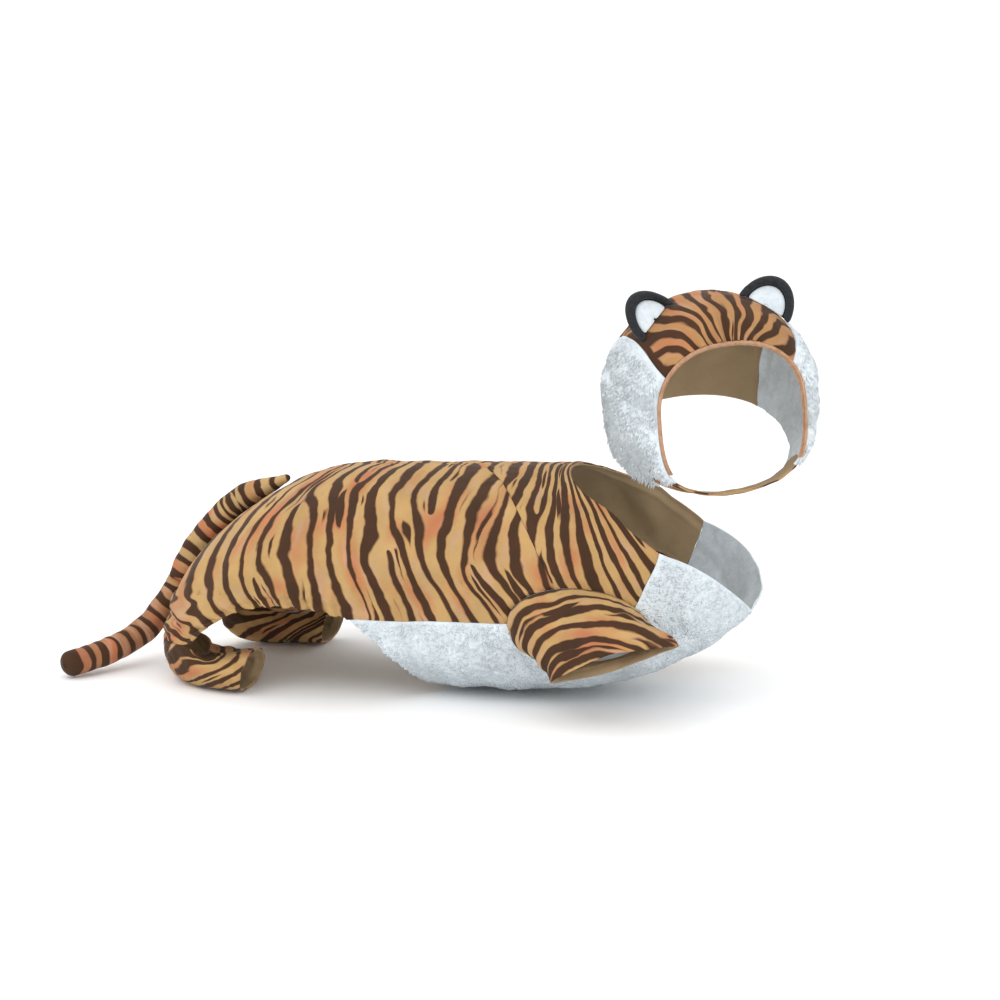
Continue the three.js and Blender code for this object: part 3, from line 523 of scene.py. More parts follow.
# Each unevenness of the print: how often it changes in a stripe spacing, across and along the stripes, its
# place in the noise and its detail.
printNoise = {
    "wander": (0.32, 0.13, 3.1, 1.0), "bend": (0.8, 0.5, 7.7, 1.0), "waver": (1.6, 1.3, 11.3, 1.0),
    "width": (0.66, 0.23, 23.5, 0.6), "fine": (0.8, 0.22, 41.9, 1.0), "ragged": (1.0, 0.8, 171.0, 1.0),
    "ground": (0.8, 0.3, 61.0, 2.0), "blotch": (0.55, 0.24, 83.0, 1.5), "blotchTint": (0.9, 0.4, 97.0, 1.0),
    "paleSheen": (1.6, 0.35, 120.0, 1.0), "dark": (1.2, 0.8, 140.0, 1.0),
}
# Widths in half a stripe spacing. Each colour comes in between its first two values, from none to its last.
printParts = {
    "bendShare": 2.6, "everySecond": 0.06, "fineGain": 4.2, "fineLow": -2.5, "ragged": 0.15,
    "blotch": (0.5, 0.68, 0.0, 0.85), "paleSheen": (0.56, 0.72, 0.0, 0.6), "fringe": (-0.13, 0.0, 0.0, 0.75),
    "core": (-0.035, 0.06),
}


def tigerPrint(name, wide=0.36, uneven=0.3, forks=(), wander=0.7, waver=0.09, seamStripe=False,
               grounds=("ground", "groundLight"), change=None):
    # Stripes lie at whole numbers of the chart's first value and run along its second.
    material, tree = newMaterial(name)
    chart = addNode(tree, "ShaderNodeAttribute", {"attribute_name": "print"})
    split = addNode(tree, "ShaderNodeSeparateXYZ", links={0: chart.outputs["Vector"]})
    across, along, seed = split.outputs
    isWrong = addNode(tree, "ShaderNodeMath", {"operation": "GREATER_THAN", 1: wrongSideSeed / 2}, {0: seed})
    panelSeed = addNode(tree, "ShaderNodeMath", {"operation": "MODULO", 1: wrongSideSeed}, {0: seed})

    def patchy(key):
        # Uneven values from 0 to 1, drawn out along the stripes.
        scaleAcross, scaleAlong, offset, detail = printNoise[key]
        x = addNode(tree, "ShaderNodeMath", {"operation": "MULTIPLY", 1: scaleAcross}, {0: across})
        y = addNode(tree, "ShaderNodeMath", {"operation": "MULTIPLY", 1: scaleAlong}, {0: along})
        z = addNode(tree, "ShaderNodeMath", {"operation": "ADD", 1: offset}, {0: panelSeed})
        at = addNode(tree, "ShaderNodeCombineXYZ", links={0: x, 1: y, 2: z})
        return addNode(tree, "ShaderNodeTexNoise", {"Scale": 1.0, "Detail": detail, "Roughness": 0.5},
                       {"Vector": at})

    # Long wander and short waver of each stripe's line.
    phase = across
    for key, size in (("wander", wander), ("bend", waver * printParts["bendShare"]), ("waver", waver)):
        wave = addNode(tree, "ShaderNodeMath", {"operation": "MULTIPLY_ADD", 1: 2 * size, 2: -size},
                       {0: patchy(key)})
        phase = addNode(tree, "ShaderNodeMath", {"operation": "ADD"}, {0: phase, 1: wave})
    # A stripe forks where the count on one side of a point is one more than on the other.
    for forkAcross, forkAlong, way in forks:
        dx = addNode(tree, "ShaderNodeMath", {"operation": "SUBTRACT", 1: forkAcross}, {0: across})
        dy = addNode(tree, "ShaderNodeMath", {"operation": "SUBTRACT", 1: forkAlong}, {0: along})
        turn = addNode(tree, "ShaderNodeMath", {"operation": "ARCTAN2"}, {0: dx, 1: dy})
        phase = addNode(tree, "ShaderNodeMath", {"operation": "MULTIPLY_ADD", 1: way / (2 * math.pi)},
                        {0: turn, 2: phase})
    # 0 on a stripe's middle line and 1 half way to the next.
    fold = addNode(tree, "ShaderNodeMath", {"operation": "PINGPONG", 1: 0.5}, {0: phase})
    off = addNode(tree, "ShaderNodeMath", {"operation": "MULTIPLY", 1: 2.0}, {0: fold})
    # Half width of the stripe here: uneven, with every second stripe finer.
    halfTurn = addNode(tree, "ShaderNodeMath", {"operation": "MULTIPLY", 1: math.pi}, {0: phase})
    everySecond = addNode(tree, "ShaderNodeMath", {"operation": "COSINE"}, {0: halfTurn})
    width = addNode(tree, "ShaderNodeMath", {"operation": "MULTIPLY_ADD", 1: 2 * uneven, 2: wide - uneven},
                    {0: patchy("width")})
    width = addNode(tree, "ShaderNodeMath", {"operation": "MULTIPLY_ADD", 1: printParts["everySecond"]},
                    {0: everySecond, 2: width})
    main = addNode(tree, "ShaderNodeMath", {"operation": "SUBTRACT"}, {0: width, 1: off})
    # Short fine stripes that start and end in the wider gaps.
    between = addNode(tree, "ShaderNodeMath", {"operation": "SUBTRACT", 0: 1.0}, {1: off})
    fineWidth = addNode(tree, "ShaderNodeMath", {"operation": "MULTIPLY_ADD", 1: printParts["fineGain"],
                                                 2: printParts["fineLow"]}, {0: patchy("fine")})
    fine = addNode(tree, "ShaderNodeMath", {"operation": "SUBTRACT"}, {0: fineWidth, 1: between})
    inside = addNode(tree, "ShaderNodeMath", {"operation": "MAXIMUM"}, {0: main, 1: fine})
    if seamStripe:
        # One stripe lies along a seam or round a tip. "seam" says how far inside it a point is, in spacings.
        beside = addNode(tree, "ShaderNodeAttribute", {"attribute_name": "seam"})
        besideX = addNode(tree, "ShaderNodeSeparateXYZ", links={0: beside.outputs["Vector"]})
        ragged = addNode(tree, "ShaderNodeMath", {"operation": "MULTIPLY_ADD", 1: 2 * printParts["ragged"],
                                                  2: -printParts["ragged"]}, {0: patchy("ragged")})
        band = addNode(tree, "ShaderNodeMath", {"operation": "ADD"}, {0: besideX, 1: ragged})
        inside = addNode(tree, "ShaderNodeMath", {"operation": "MAXIMUM"}, {0: inside, 1: band})

    # Ground: yellow tan with orange and pinkish blotches that follow the stripes. "change" gives the two
    # stripes between which one ground passes into the other.
    second = patchy("ground")
    if change:
        second = addNode(tree, "ShaderNodeMapRange", {1: change[0], 2: change[1]}, {0: across})
    ground, tint, dark = [
        addNode(tree, "ShaderNodeMix", {"data_type": "RGBA", 6: linear(velboa[one]),
                                        7: linear(velboa[other])}, {0: share})
        for one, other, share in ((*grounds, second), ("blotch", "blotchPink", patchy("blotchTint")),
                                  ("stripe", "stripeBrown", patchy("dark")))]
    blotchAt, paleSheenAt, fringe = [
        addNode(tree, "ShaderNodeMapRange", dict(enumerate(printParts[key], 1)), {0: value})
        for key, value in (("blotch", patchy("blotch")), ("paleSheen", patchy("paleSheen")), ("fringe", inside))]
    core = addNode(tree, "ShaderNodeMapRange", {"interpolation_type": "SMOOTHSTEP", 1: printParts["core"][0],
                                                2: printParts["core"][1]}, {0: inside})
    ground = addNode(tree, "ShaderNodeMix", {"data_type": "RGBA"},
                     {0: blotchAt, 6: ground.outputs[2], 7: tint.outputs[2]})
    # Pale streaks along the stripes are painted highlights that stand for the sheen of the nap, placed at
    # random by noise.
    ground = addNode(tree, "ShaderNodeMix", {"data_type": "RGBA", 7: linear(velboa["paleSheen"])},
                     {0: paleSheenAt, 6: ground.outputs[2]})
    ground = addNode(tree, "ShaderNodeMix", {"data_type": "RGBA", 7: linear(velboa["edge"])},
                     {0: fringe, 6: ground.outputs[2]})
    printed = addNode(tree, "ShaderNodeMix", {"data_type": "RGBA"},
                      {0: core, 6: ground.outputs[2], 7: dark.outputs[2]})
    sided = addNode(tree, "ShaderNodeMix", {"data_type": "RGBA", 7: linear(velboa["wrongSide"])},
                    {0: isWrong, 6: printed.outputs[2]})
    addPile(tree, sided.outputs[2], velboa)
    return material


# The nap is brushed one way and the other in broad sweeps, whose slight shade is painted into the colour.
nap = {"sweepMillimetres": 34, "napShare": 0.5, "shade": (0.45, 1.05, 0.84, 1.12), "bumpMetres": 0.0006,
       "sheenRoughness": 0.45}


def addPile(tree, colour, settings):
    # Pile: a fine uneven nap, painted as slight shade on the colour, whose bump breaks up the surface.
    place = addNode(tree, "ShaderNodeTexCoord").outputs["Object"]
    fibres = addNode(tree, "ShaderNodeTexNoise", {"Scale": 1000 / settings["pileMillimetres"], "Detail": 2.0},
                     {"Vector": place})
    sweep = addNode(tree, "ShaderNodeTexNoise", {"Scale": 1000 / nap["sweepMillimetres"], "Detail": 3.0},
                    {"Vector": place})
    both = addNode(tree, "ShaderNodeMath", {"operation": "MULTIPLY_ADD", 1: nap["napShare"]},
                   {0: fibres, 2: sweep})
    shade = addNode(tree, "ShaderNodeMapRange", dict(enumerate(nap["shade"], 1)), {0: both})
    shaded = addNode(tree, "ShaderNodeVectorMath", {"operation": "SCALE"}, {0: colour, "Scale": shade})
    bump = addNode(tree, "ShaderNodeBump", {"Strength": settings["bump"], "Distance": nap["bumpMetres"]},
                   {"Height": fibres})
    shader = addNode(tree, "ShaderNodeBsdfPrincipled", {
        "Roughness": settings["roughness"], "IOR": settings["ior"], "Sheen Weight": settings["sheen"],
        "Sheen Roughness": nap["sheenRoughness"], "Specular IOR Level": settings["specular"],
    }, {"Base Color": shaded, "Normal": bump})
    addNode(tree, "ShaderNodeOutputMaterial", links={"Surface": shader})


# Acrylic faux fur, cool white: its mottle is painted light at the pile's tips and painted shade between them.
whiteFur = {"low": "CAD4DA", "high": "D8E0E5", "roughness": 0.9, "ior": 1.49, "specular": 0.4, "sheen": 0.15,
            "pileMillimetres": 1.8, "bump": 0.25}
# The same acrylic, dyed black: dense and matt, and its pile shows only where light grazes it.
blackFur = {"low": "141618", "high": "24272C", "roughness": 0.88, "ior": 1.49, "specular": 0.4, "sheen": 0.1,
            "pileMillimetres": 1.2, "bump": 0.6}
# Brushed polyester knit, tan: a dull, slightly felted face.
brushedKnit = {"low": "A57857", "high": "B79175", "roughness": 0.85, "ior": 1.46, "specular": 0.4,
               "sheen": 0.08, "pileMillimetres": 0.9, "bump": 0.4}


def plainPile(name, settings, size=6.0):
    # One colour, mottled in patches of about the given size in millimetres.
    material, tree = newMaterial(name)
    place = addNode(tree, "ShaderNodeTexCoord").outputs["Object"]
    mottle = addNode(tree, "ShaderNodeTexNoise", {"Scale": 1000 / size, "Detail": 3.0, "Roughness": 0.6},
                     {"Vector": place})
    share = addNode(tree, "ShaderNodeMapRange", {1: 0.35, 2: 0.65}, {0: mottle})
    colour = addNode(tree, "ShaderNodeMix", {"data_type": "RGBA", 6: linear(settings["low"]),
                                             7: linear(settings["high"])}, {0: share})
    addPile(tree, colour.outputs[2], settings)
    return material


backForks = ((3.6, 5.2, 1), (6.4, 3.4, -1), (8.7, 8.6, 1), (10.6, 6.2, -1), (13.2, 9.4, 1), (2.2, 10.0, 1),
             (16.5, 6.0, -1))
tigerBack = tigerPrint("brushed_velboa_tiger", forks=backForks)
tigerShoulder = tigerPrint("brushed_velboa_shoulder", wide=0.46, forks=backForks)
tigerSleeve = tigerPrint("brushed_velboa_sleeve", wide=0.40, uneven=0.3, forks=((2.6, 5.5, -1),))
tigerTail = tigerPrint("brushed_velboa_tail", wide=0.40, uneven=0.3, wander=0.45, seamStripe=True,
                       grounds=("groundLight", "dusky"), change=(8.0, 13.0))
tigerHood = tigerPrint("brushed_velboa_hood", wide=0.5, uneven=0.3, wander=0.4, waver=0.18, seamStripe=True,
                       grounds=("ground", "dusky"))
tigerStrap = tigerPrint("brushed_velboa_strap", wide=0.38, uneven=0.28, wander=0.4)
whitePlush = plainPile("acrylic_plush_white", whiteFur)
# The long tufts shade each other, so their colour is painted lighter than the plush's to make up for it.
whiteTuftsLightened = plainPile("acrylic_pile_white_lightened", {**whiteFur, "low": "D8E2E8", "high": "EDF3F6"})
blackPlush = plainPile("acrylic_plush_black", blackFur, 4.0)
tanKnit = plainPile("brushed_knit_tan", brushedKnit, 5.0)
print("materials made")

# Tiger print chart of the trunk

# Lines that stripes follow over the back. Each row counts stripes, then gives the section of its line at the
# angles from the spine.
stripeGuides = {
    "angles": (5, 30, 55, 80, 105), "soften": ((-13, 0.25), (0, 0.5), (13, 0.25)),
    "rows": [
        (-5.5, 0.2, -0.6, -1.6, -2.4, -3.0), (-4.2, 1.4, 0.8, 0.0, -0.6, -1.2),
        (-2.8, 2.8, 2.1, 1.6, 1.0, 0.6), (-1.4, 4.6, 3.9, 3.2, 2.6, 2.2), (0, 6.3, 5.2, 4.4, 3.9, 3.6),
        (1.4, 7.1, 6.35, 5.6, 4.9, 4.5), (3, 7.8, 7.15, 6.75, 5.8, 5.5), (4.3, 8.2, 7.6, 7.4, 7.0, 6.8),
        (6, 8.75, 8.3, 8.3, 8.35, 8.7), (8.3, 9.5, 9.25, 9.48, 9.5, 9.95),
        (11, 10.75, 10.7, 10.77, 10.75, 11.65), (13.6, 12.2, 12.4, 12.0, 11.7, 12.7),
        (16.8, 14.0, 14.3, 14.1, 13.9, 14.3), (18.6, 15.2, 15.9, 15.5, 14.7, 14.9),
        (19.9, 16.2, 16.8, 16.3, 15.7, 15.4), (21.4, 17.2, 17.6, 17.2, 16.2, 15.9),
        (22.6, 18.2, 18.4, 17.8, 16.8, 16.3), (24.5, 19.4, 19.4, 19.0, 18.2, 17.6),
    ],
}


def stripeCount(u, v):
    angles = np.radians(stripeGuides["angles"])
    rows = np.array(stripeGuides["rows"])
    folded = np.minimum(v, 2 * math.pi - v)
    sections = np.zeros((len(rows),) + u.shape)
    for offset, share in stripeGuides["soften"]:
        place = np.interp(folded + math.radians(offset), angles, np.arange(len(angles), dtype=float))
        sections += share * np.array([rowValue(row[1:, None], 0, place) for row in rows])
    counts = np.zeros(u.shape)
    for k in range(len(rows) - 1):
        low, high = sections[k], sections[k + 1]
        share = (u - low) / np.maximum(high - low, 1e-6)
        inside = (u >= low) & ((u < high) | (k == len(rows) - 2))
        counts = np.where(inside, rows[k, 0] + (rows[k + 1, 0] - rows[k, 0]) * share, counts)
    return counts


stripeSpacing = 16.5
trunkRadius = 117.0
rearCorner = {"fromX": -218, "reachX": 42, "fromZ": 118, "reachZ": 45}
bunches = {"spacing": 3.1, "uneven": (1.1, 40, 13), "printShare": 0.3}


def bunching(points):
    # 1 where the cloth bunches up over the hock, in the lower rear corner of the back, and 0 away from it.
    return (smooth((rearCorner["fromX"] - points[..., 0]) / rearCorner["reachX"])
            * smooth((rearCorner["fromZ"] - points[..., 2]) / rearCorner["reachZ"]))


def trunkPanel(panel, edges, side="right", relief=None):
    # Points, normals and print chart of a panel of the trunk, with what stands out from its surface.
    uv = patch(*edges, spread(panel["columns"]), spread(panel["rows"]))
    u, v = uv[..., 0], uv[..., 1]
    points, normals = trunkPoint(u, v), surfaceNormal(trunkPoint, u, v)
    height = panel["lift"] + bumps(points, panel["bumps"])
    if relief is not None:
        height = height + relief(points)
    points = raised(points, normals, height)
    bend = bumps(points, [bunches["uneven"]])
    bunched = bunching(points) * np.sin(points[..., 2] / bunches["spacing"] + bend)
    across = stripeCount(u, v) + bunches["printShare"] * bunched + panel["printShift"]
    return points, normals, printChart(across, v * trunkRadius / stripeSpacing, panel["printSeed"], side)


def seamRipples(points, seam, spacing, turn):
    # Small waves along a seam, where its stitches draw the cloth up.
    return 0.7 * np.exp(-seam / 12) * np.sin(lengthsAlong(points, 1) * 2 * math.pi / spacing + turn)


# A ridge or valley is given by its height, its distance from the edge and its width.
backPanel = {
    "columns": 150, "rows": 78, "lift": 0.0, "bumps": ((0.5, 42, 11), (0.175, 15, 12)), "printSeed": 0.0,
    "printShift": 0.0, "partColumns": 33, "gatheredColumns": 21.5, "gatherHeight": 2.6, "gatherReach": 5 / 13,
    "casing": (-1.6, 11, 3.0), "puckerHeight": 0.9, "puckerReach": 16, "puckersPerColumn": 1.37,
    "raglanValley": (-1.1, 0, 3.2), "spineValley": (-0.8, 0, 2.6), "ripples": (23, 0.6),
    "bunchHeight": 1.5, "bunchSpacing": (4.2, 15), "bunchUneven": (1.2, 34, 19),
}


def backRelief(points):
    column = spread(backPanel["columns"])[:, None] * backPanel["partColumns"]
    fromHem = 1 - spread(backPanel["rows"])[None, :]
    inGather = smooth(1 - (column - backPanel["gatheredColumns"]))
    atHem = smooth(1 - fromHem / backPanel["gatherReach"])
    gathers = backPanel["gatherHeight"] * np.cos(math.pi * column) * atHem * smooth(column / 3) * inGather
    # The hem's casing draws in over its elastic, and small puckers run in from it.
    hem, raglan, spine = (nearEdge(points, [name]) for name in ("far", "end", "near"))
    casing = ridge(hem, *backPanel["casing"]) * inGather
    puckers = (backPanel["puckerHeight"] * np.cos(2 * math.pi * column * backPanel["puckersPerColumn"] + 0.8)
               * np.exp(-hem / backPanel["puckerReach"]) * inGather)
    spacingZ, spacingX = backPanel["bunchSpacing"]
    bunched = (backPanel["bunchHeight"] * bunching(points)
               * np.sin(points[..., 2] / spacingZ + points[..., 0] / spacingX
                        + bumps(points, [backPanel["bunchUneven"]])))
    return (gathers + casing + puckers + ridge(raglan, *backPanel["raglanValley"])
            + seamRipples(points, raglan, *backPanel["ripples"]) + bunched
            + ridge(spine, *backPanel["spineValley"]))


def backEdges():
    thigh, side = lines["thigh"], lines["side"]
    end = thigh[-1]
    corner = (0, end[1] * 12 / 13)
    rear = edge((straight((0, 0), corner), 12), (straight(corner, end), 1))
    front = edge((lines["raglan"], 8), (lines["armRear"], 5))
    far = edge((thigh[::-1], 22), (side[::-1], 11))
    near = edge((straight((0, 0), (lines["raglan"][0, 0], 0)), 1))
    return rear, front, near, far


# The shoulder's print is cut apart from the back's, so stripes don't meet at the seam.
shoulderPanel = {
    "columns": 44, "rows": 52, "lift": 0.0, "bumps": ((0.5, 42, 17), (0.175, 15, 18)), "printSeed": 5.0,
    "printShift": 0.45, "raglanValley": (-1.1, 0, 3.2), "sleeveValley": (-0.9, 0, 3.0), "ripples": (19, 0.0),
    "neckRoll": (1.2, 5, 4.0), "neckStitching": (-1.0, 12, 2.2),
}


def shoulderRelief(points):
    raglan, neck, sleeveSeam = (nearEdge(points, [name]) for name in ("start", "end", "far"))
    return (ridge(raglan, *shoulderPanel["raglanValley"]) + ridge(sleeveSeam, *shoulderPanel["sleeveValley"])
            + ridge(neck, *shoulderPanel["neckRoll"]) + ridge(neck, *shoulderPanel["neckStitching"])
            + seamRipples(points, raglan, *shoulderPanel["ripples"]))


def shoulderEdges():
    start, end = edge((lines["raglan"], 8)), edge((lines["neck"], 8))
    far = edge((lines["armTop"], 5), (lines["chest"][::-1], 3))
    near = edge((straight((lines["raglan"][0, 0], 0), (lines["neck"][0, 0], 0)), 1))
    return start, end, near, far


def addTiger(name, side, panel, edges, relief, material):
    points, normals, chart = trunkPanel(panel, edges, side, relief)
    obj = clothWall(name + "_cloth_" + side, points, normals, chart, side)
    return addPiece(obj, material, [name + "_" + side])


# The white panels lie under their pile, so they are thinner and a little sunk.
plushPanel = {"columns": 96, "thickness": 2.0, "lift": -0.6, "printSeed": 0.0, "printShift": 0.0}
chestPanel = {**plushPanel, "rows": 48, "bumps": ((1.1, 42, 23), (0.385, 15, 24), (0.21, 9, 26))}
bellyPanel = {**plushPanel, "rows": 72, "bumps": ((1.1, 42, 29), (0.385, 15, 30), (0.21, 9, 32))}


def plushEdges(side, near, far):
    # Edges of a white panel across the middle: its right side, that side mirrored, and the two ends.
    otherSide = [(mirrored(line), share) for line, share in side]
    near, far = (edge((line, 1), (mirrored(line)[::-1], 1)) for line in (near, far))
    return edge(*side), edge(*otherSide), near, far


def addWhite(name, panel, edges):
    points, normals, chart = trunkPanel(panel, edges)
    obj = clothWall(name + "_cloth", points, normals, chart, thickness=panel["thickness"])
    addPiece(obj, whitePlush, [name + "_panel"])
    return obj, points, normals


backRight, backLeft = [addTiger("back", side, backPanel, backEdges(), backRelief, tigerBack)
                       for side in sides]
shoulderRight, shoulderLeft = [addTiger("shoulder", side, shoulderPanel, shoulderEdges(), shoulderRelief,
                                        tigerShoulder) for side in sides]
chest, chestPoints, chestNormals = addWhite("chest", chestPanel, plushEdges(
    [(lines["chest"], 3), (lines["armFront"], 6)], lines["neckFront"], lines["belly"]))
belly, bellyPoints, bellyNormals = addWhite("belly", bellyPanel, plushEdges(
    [(lines["armUnder"], 4), (lines["side"], 11)], lines["belly"], lines["bellyHem"]))
print("trunk panels made")

# Sleeves and cuffs


def tubeNormals(rings):
    before, after = np.concatenate([rings[:1], rings[:-1]]), np.concatenate([rings[1:], rings[-1:]])
    around = np.roll(rings, -1, axis=1) - np.roll(rings, 1, axis=1)
    return unit(np.cross(around, after - before))


def ringWall(name, outers, chart, side, bulge=0.5):
    # A tube of rings open at both ends, with its wrong side and two rounded hems.
    inners = outers - tubeNormals(outers) * clothThickness
    rims = [(outers[cut] + inners[cut]) / 2 + unit(outers[cut] - outers[inner]) * bulge
            for cut, inner in ((0, 1), (-1, -2))]
    rings = np.concatenate([rims[0][None], outers, rims[1][None], inners[::-1]])
    rows = outers.shape[1]
    j = np.arange(rows)
    k = (j + 1) % rows
    last = (len(rings) - 1) * rows
    faces = np.vstack([gridFaces(len(rings), rows, around=True), np.stack([last + j, last + k, k, j], -1)])
    if side == "left":
        faces = faces[:, ::-1]
    wrong = chart + [0, 0, wrongSideSeed]
    charts = {"print": np.concatenate([chart[:1], chart, chart[-1:], wrong[::-1]]).reshape(-1, 3)}
    return makeMesh(name, mirrorPoints(rings.reshape(-1, 3), side), faces, charts)


def addTube(name, side, outers, across, seed):
    # Dresses a node in a tube of rings, with stripes that run round it.
    turnLength = lengthsAlong(np.concatenate([outers, outers[:, :1]], 1), 1)[:, :-1]
    chart = printChart(across, turnLength / stripeSpacing, seed, side)
    obj = ringWall(name + "_cloth_" + side, outers, chart, side)
    return addPiece(obj, tigerSleeve, [name + "_" + side])


def lofted(start, startPull, end, endPull, t):
    share = t[:, None, None]
    return (start * (1 + 2 * share) * (1 - share) ** 2 + startPull * share * (1 - share) ** 2
            + end * share * share * (3 - 2 * share) + endPull * share * share * (share - 1))


sleeve = {
    "startPull": 46.0, "endPull": 42.0, "facing": (0.25, -0.28, -0.92), "rings": 64, "around": 168,
    "inset": -2, "bumps": ((0.9, 30, 31), (0.5, 13, 37)), "creaseHeight": 1.3, "creaseSpacing": 11.5,
    "creaseBend": (1.5, 60, 41), "creaseFade": (0.6, 45, 43), "stitching": (-0.8, 11, 1.8),
    "stripeSpacing": 20.0, "printShift": 0.2, "printSeed": 9.0,
    "hem": [(283, -131, 86), (262, -160, 88), (224, -172, 82), (182, -167, 61), (156, -150, 43),
            (172, -133, 43), (214, -126, 54), (256, -122, 72)],
}


def sleeveTurns(count):
    # Angles round the armhole, spread between the seams that meet it as the part's own are.
    marks = [meets["belly"] - 360, meets["chest"], meets["raglan"], meets["side"], meets["belly"]]
    return np.interp(np.arange(count) / count * 20, [0, 6, 11, 16, 20], marks)


def addSleeve(side):
    turns = sleeveTurns(sleeve["around"])
    at, inside = armholeAt(turns).T, armholeAt(turns, sleeve["inset"]).T
    normal, start = surfaceNormal(trunkPoint, *at), trunkPoint(*at)
    inward = unit(trunkPoint(*inside) - start)
    start = start + inward * seamGap - normal * clothThickness / 2
    hem = curvePoints(sleeve["hem"], ((turns + 360) % 360) / 360, closed=True)
    facing = unit(np.array(sleeve["facing"]))
    outers = lofted(start, normal * sleeve["startPull"], hem, facing * sleeve["endPull"],
                    spread(sleeve["rings"]))
    down = lengthsAlong(outers, 0)
    left = down[-1:] - down
    # Soft creases across the elbow, a set-in seam at the top and a turned hem with its stitching line.
    bend, fade = (bumps(outers, [sleeve[key]]) for key in ("creaseBend", "creaseFade"))
    creases = (sleeve["creaseHeight"] * np.sin(down / sleeve["creaseSpacing"] + bend)
               * smooth(down / 25) * smooth(left / 20) * (0.4 + fade))
    height = (bumps(outers, sleeve["bumps"]) + creases) * smooth(down / 8) + ridge(left, *sleeve["stitching"])
    outers = raised(outers, tubeNormals(outers), height)
    return addTube("sleeve", side, outers, down / sleeve["stripeSpacing"] + sleeve["printShift"],
                   sleeve["printSeed"])


cuff = {
    "rings": 72, "around": 120, "pullFront": 0.35, "pullHeel": 1.5, "bumps": ((0.9, 26, 51), (0.5, 12, 53)),
    "stitching": (-0.9, 10, 1.8), "stripeSpacing": 15.5, "printSeed": 14.0,
    "top": [(-231, -108, 38), (-230, -131, 38), (-247, -137, 47.4), (-275, -119, 46.6), (-293, -92, 46.2),
            (-299, -66, 46), (-275, -58, 46), (-247, -76, 44)],
    "front": [(-179, -114, 44), (-179, -138, 38), (-181, -147, 23), (-185, -138, 7), (-187, -114, 1.5),
              (-185, -90, 7), (-181, -81, 23), (-179, -90, 38)],
}


def addCuff(side):
    turn = np.arange(cuff["around"]) / cuff["around"]
    start, end = curvePoints(cuff["top"], turn, closed=True), curvePoints(cuff["front"], turn, closed=True)
    heel = 0.5 - 0.5 * np.cos(2 * math.pi * turn)
    pull = (cuff["pullFront"] * (1 - heel) + cuff["pullHeel"] * heel) * np.linalg.norm(end - start, axis=1)
    downward, forward = pull[:, None] * [0, 0, -1], pull[:, None] * [1, 0, 0]
    outers = lofted(start, downward, end, forward, spread(cuff["rings"]))
    down = lengthsAlong(outers, 0)
    height = bumps(outers, cuff["bumps"]) * smooth(down / 8) + ridge(down[-1:] - down, *cuff["stitching"])
    low = smooth((outers[..., 2] - 4) / 8)  # nothing is pushed out where the cuff lies on the floor
    outers = raised(outers, tubeNormals(outers), height * low)
    across = (down * 0.85 + outers[..., 2] * 0.55) / cuff["stripeSpacing"]
    return addTube("hind_leg", side, outers, across, cuff["printSeed"])


sleeveRight, sleeveLeft = [addSleeve(side) for side in sides]
cuffRight, cuffLeft = [addCuff(side) for side in sides]
print("sleeves and cuffs made")

# Tail. onRump gives the trunk sections that it goes between, in how many steps, and its drift in degrees.
tail = {
    "radius": 14.5, "clear": 1.0, "rootShare": 0.38, "rootReach": 62.0, "rings": 150, "around": 40,
    "onRump": (6.15, 1.4, 9, 4.5), "endShare": 0.032, "bumps": ((0.5, 32, 61), (0.3, 14, 63)), "sunk": -0.35,
    "stripeSpacing": 17.5, "darkTip": 9.0, "printSeed": 20.0,
    "free": [(-329, -18, 58), (-341, -33, 40), (-355, -58, 27), (-371, -90, 19.5), (-393, -131, 15.5)],
}


def tailRadiusAt(distance):
    share = tail["rootShare"] + (1 - tail["rootShare"]) * smooth(distance / tail["rootReach"])
    return tail["radius"] * share


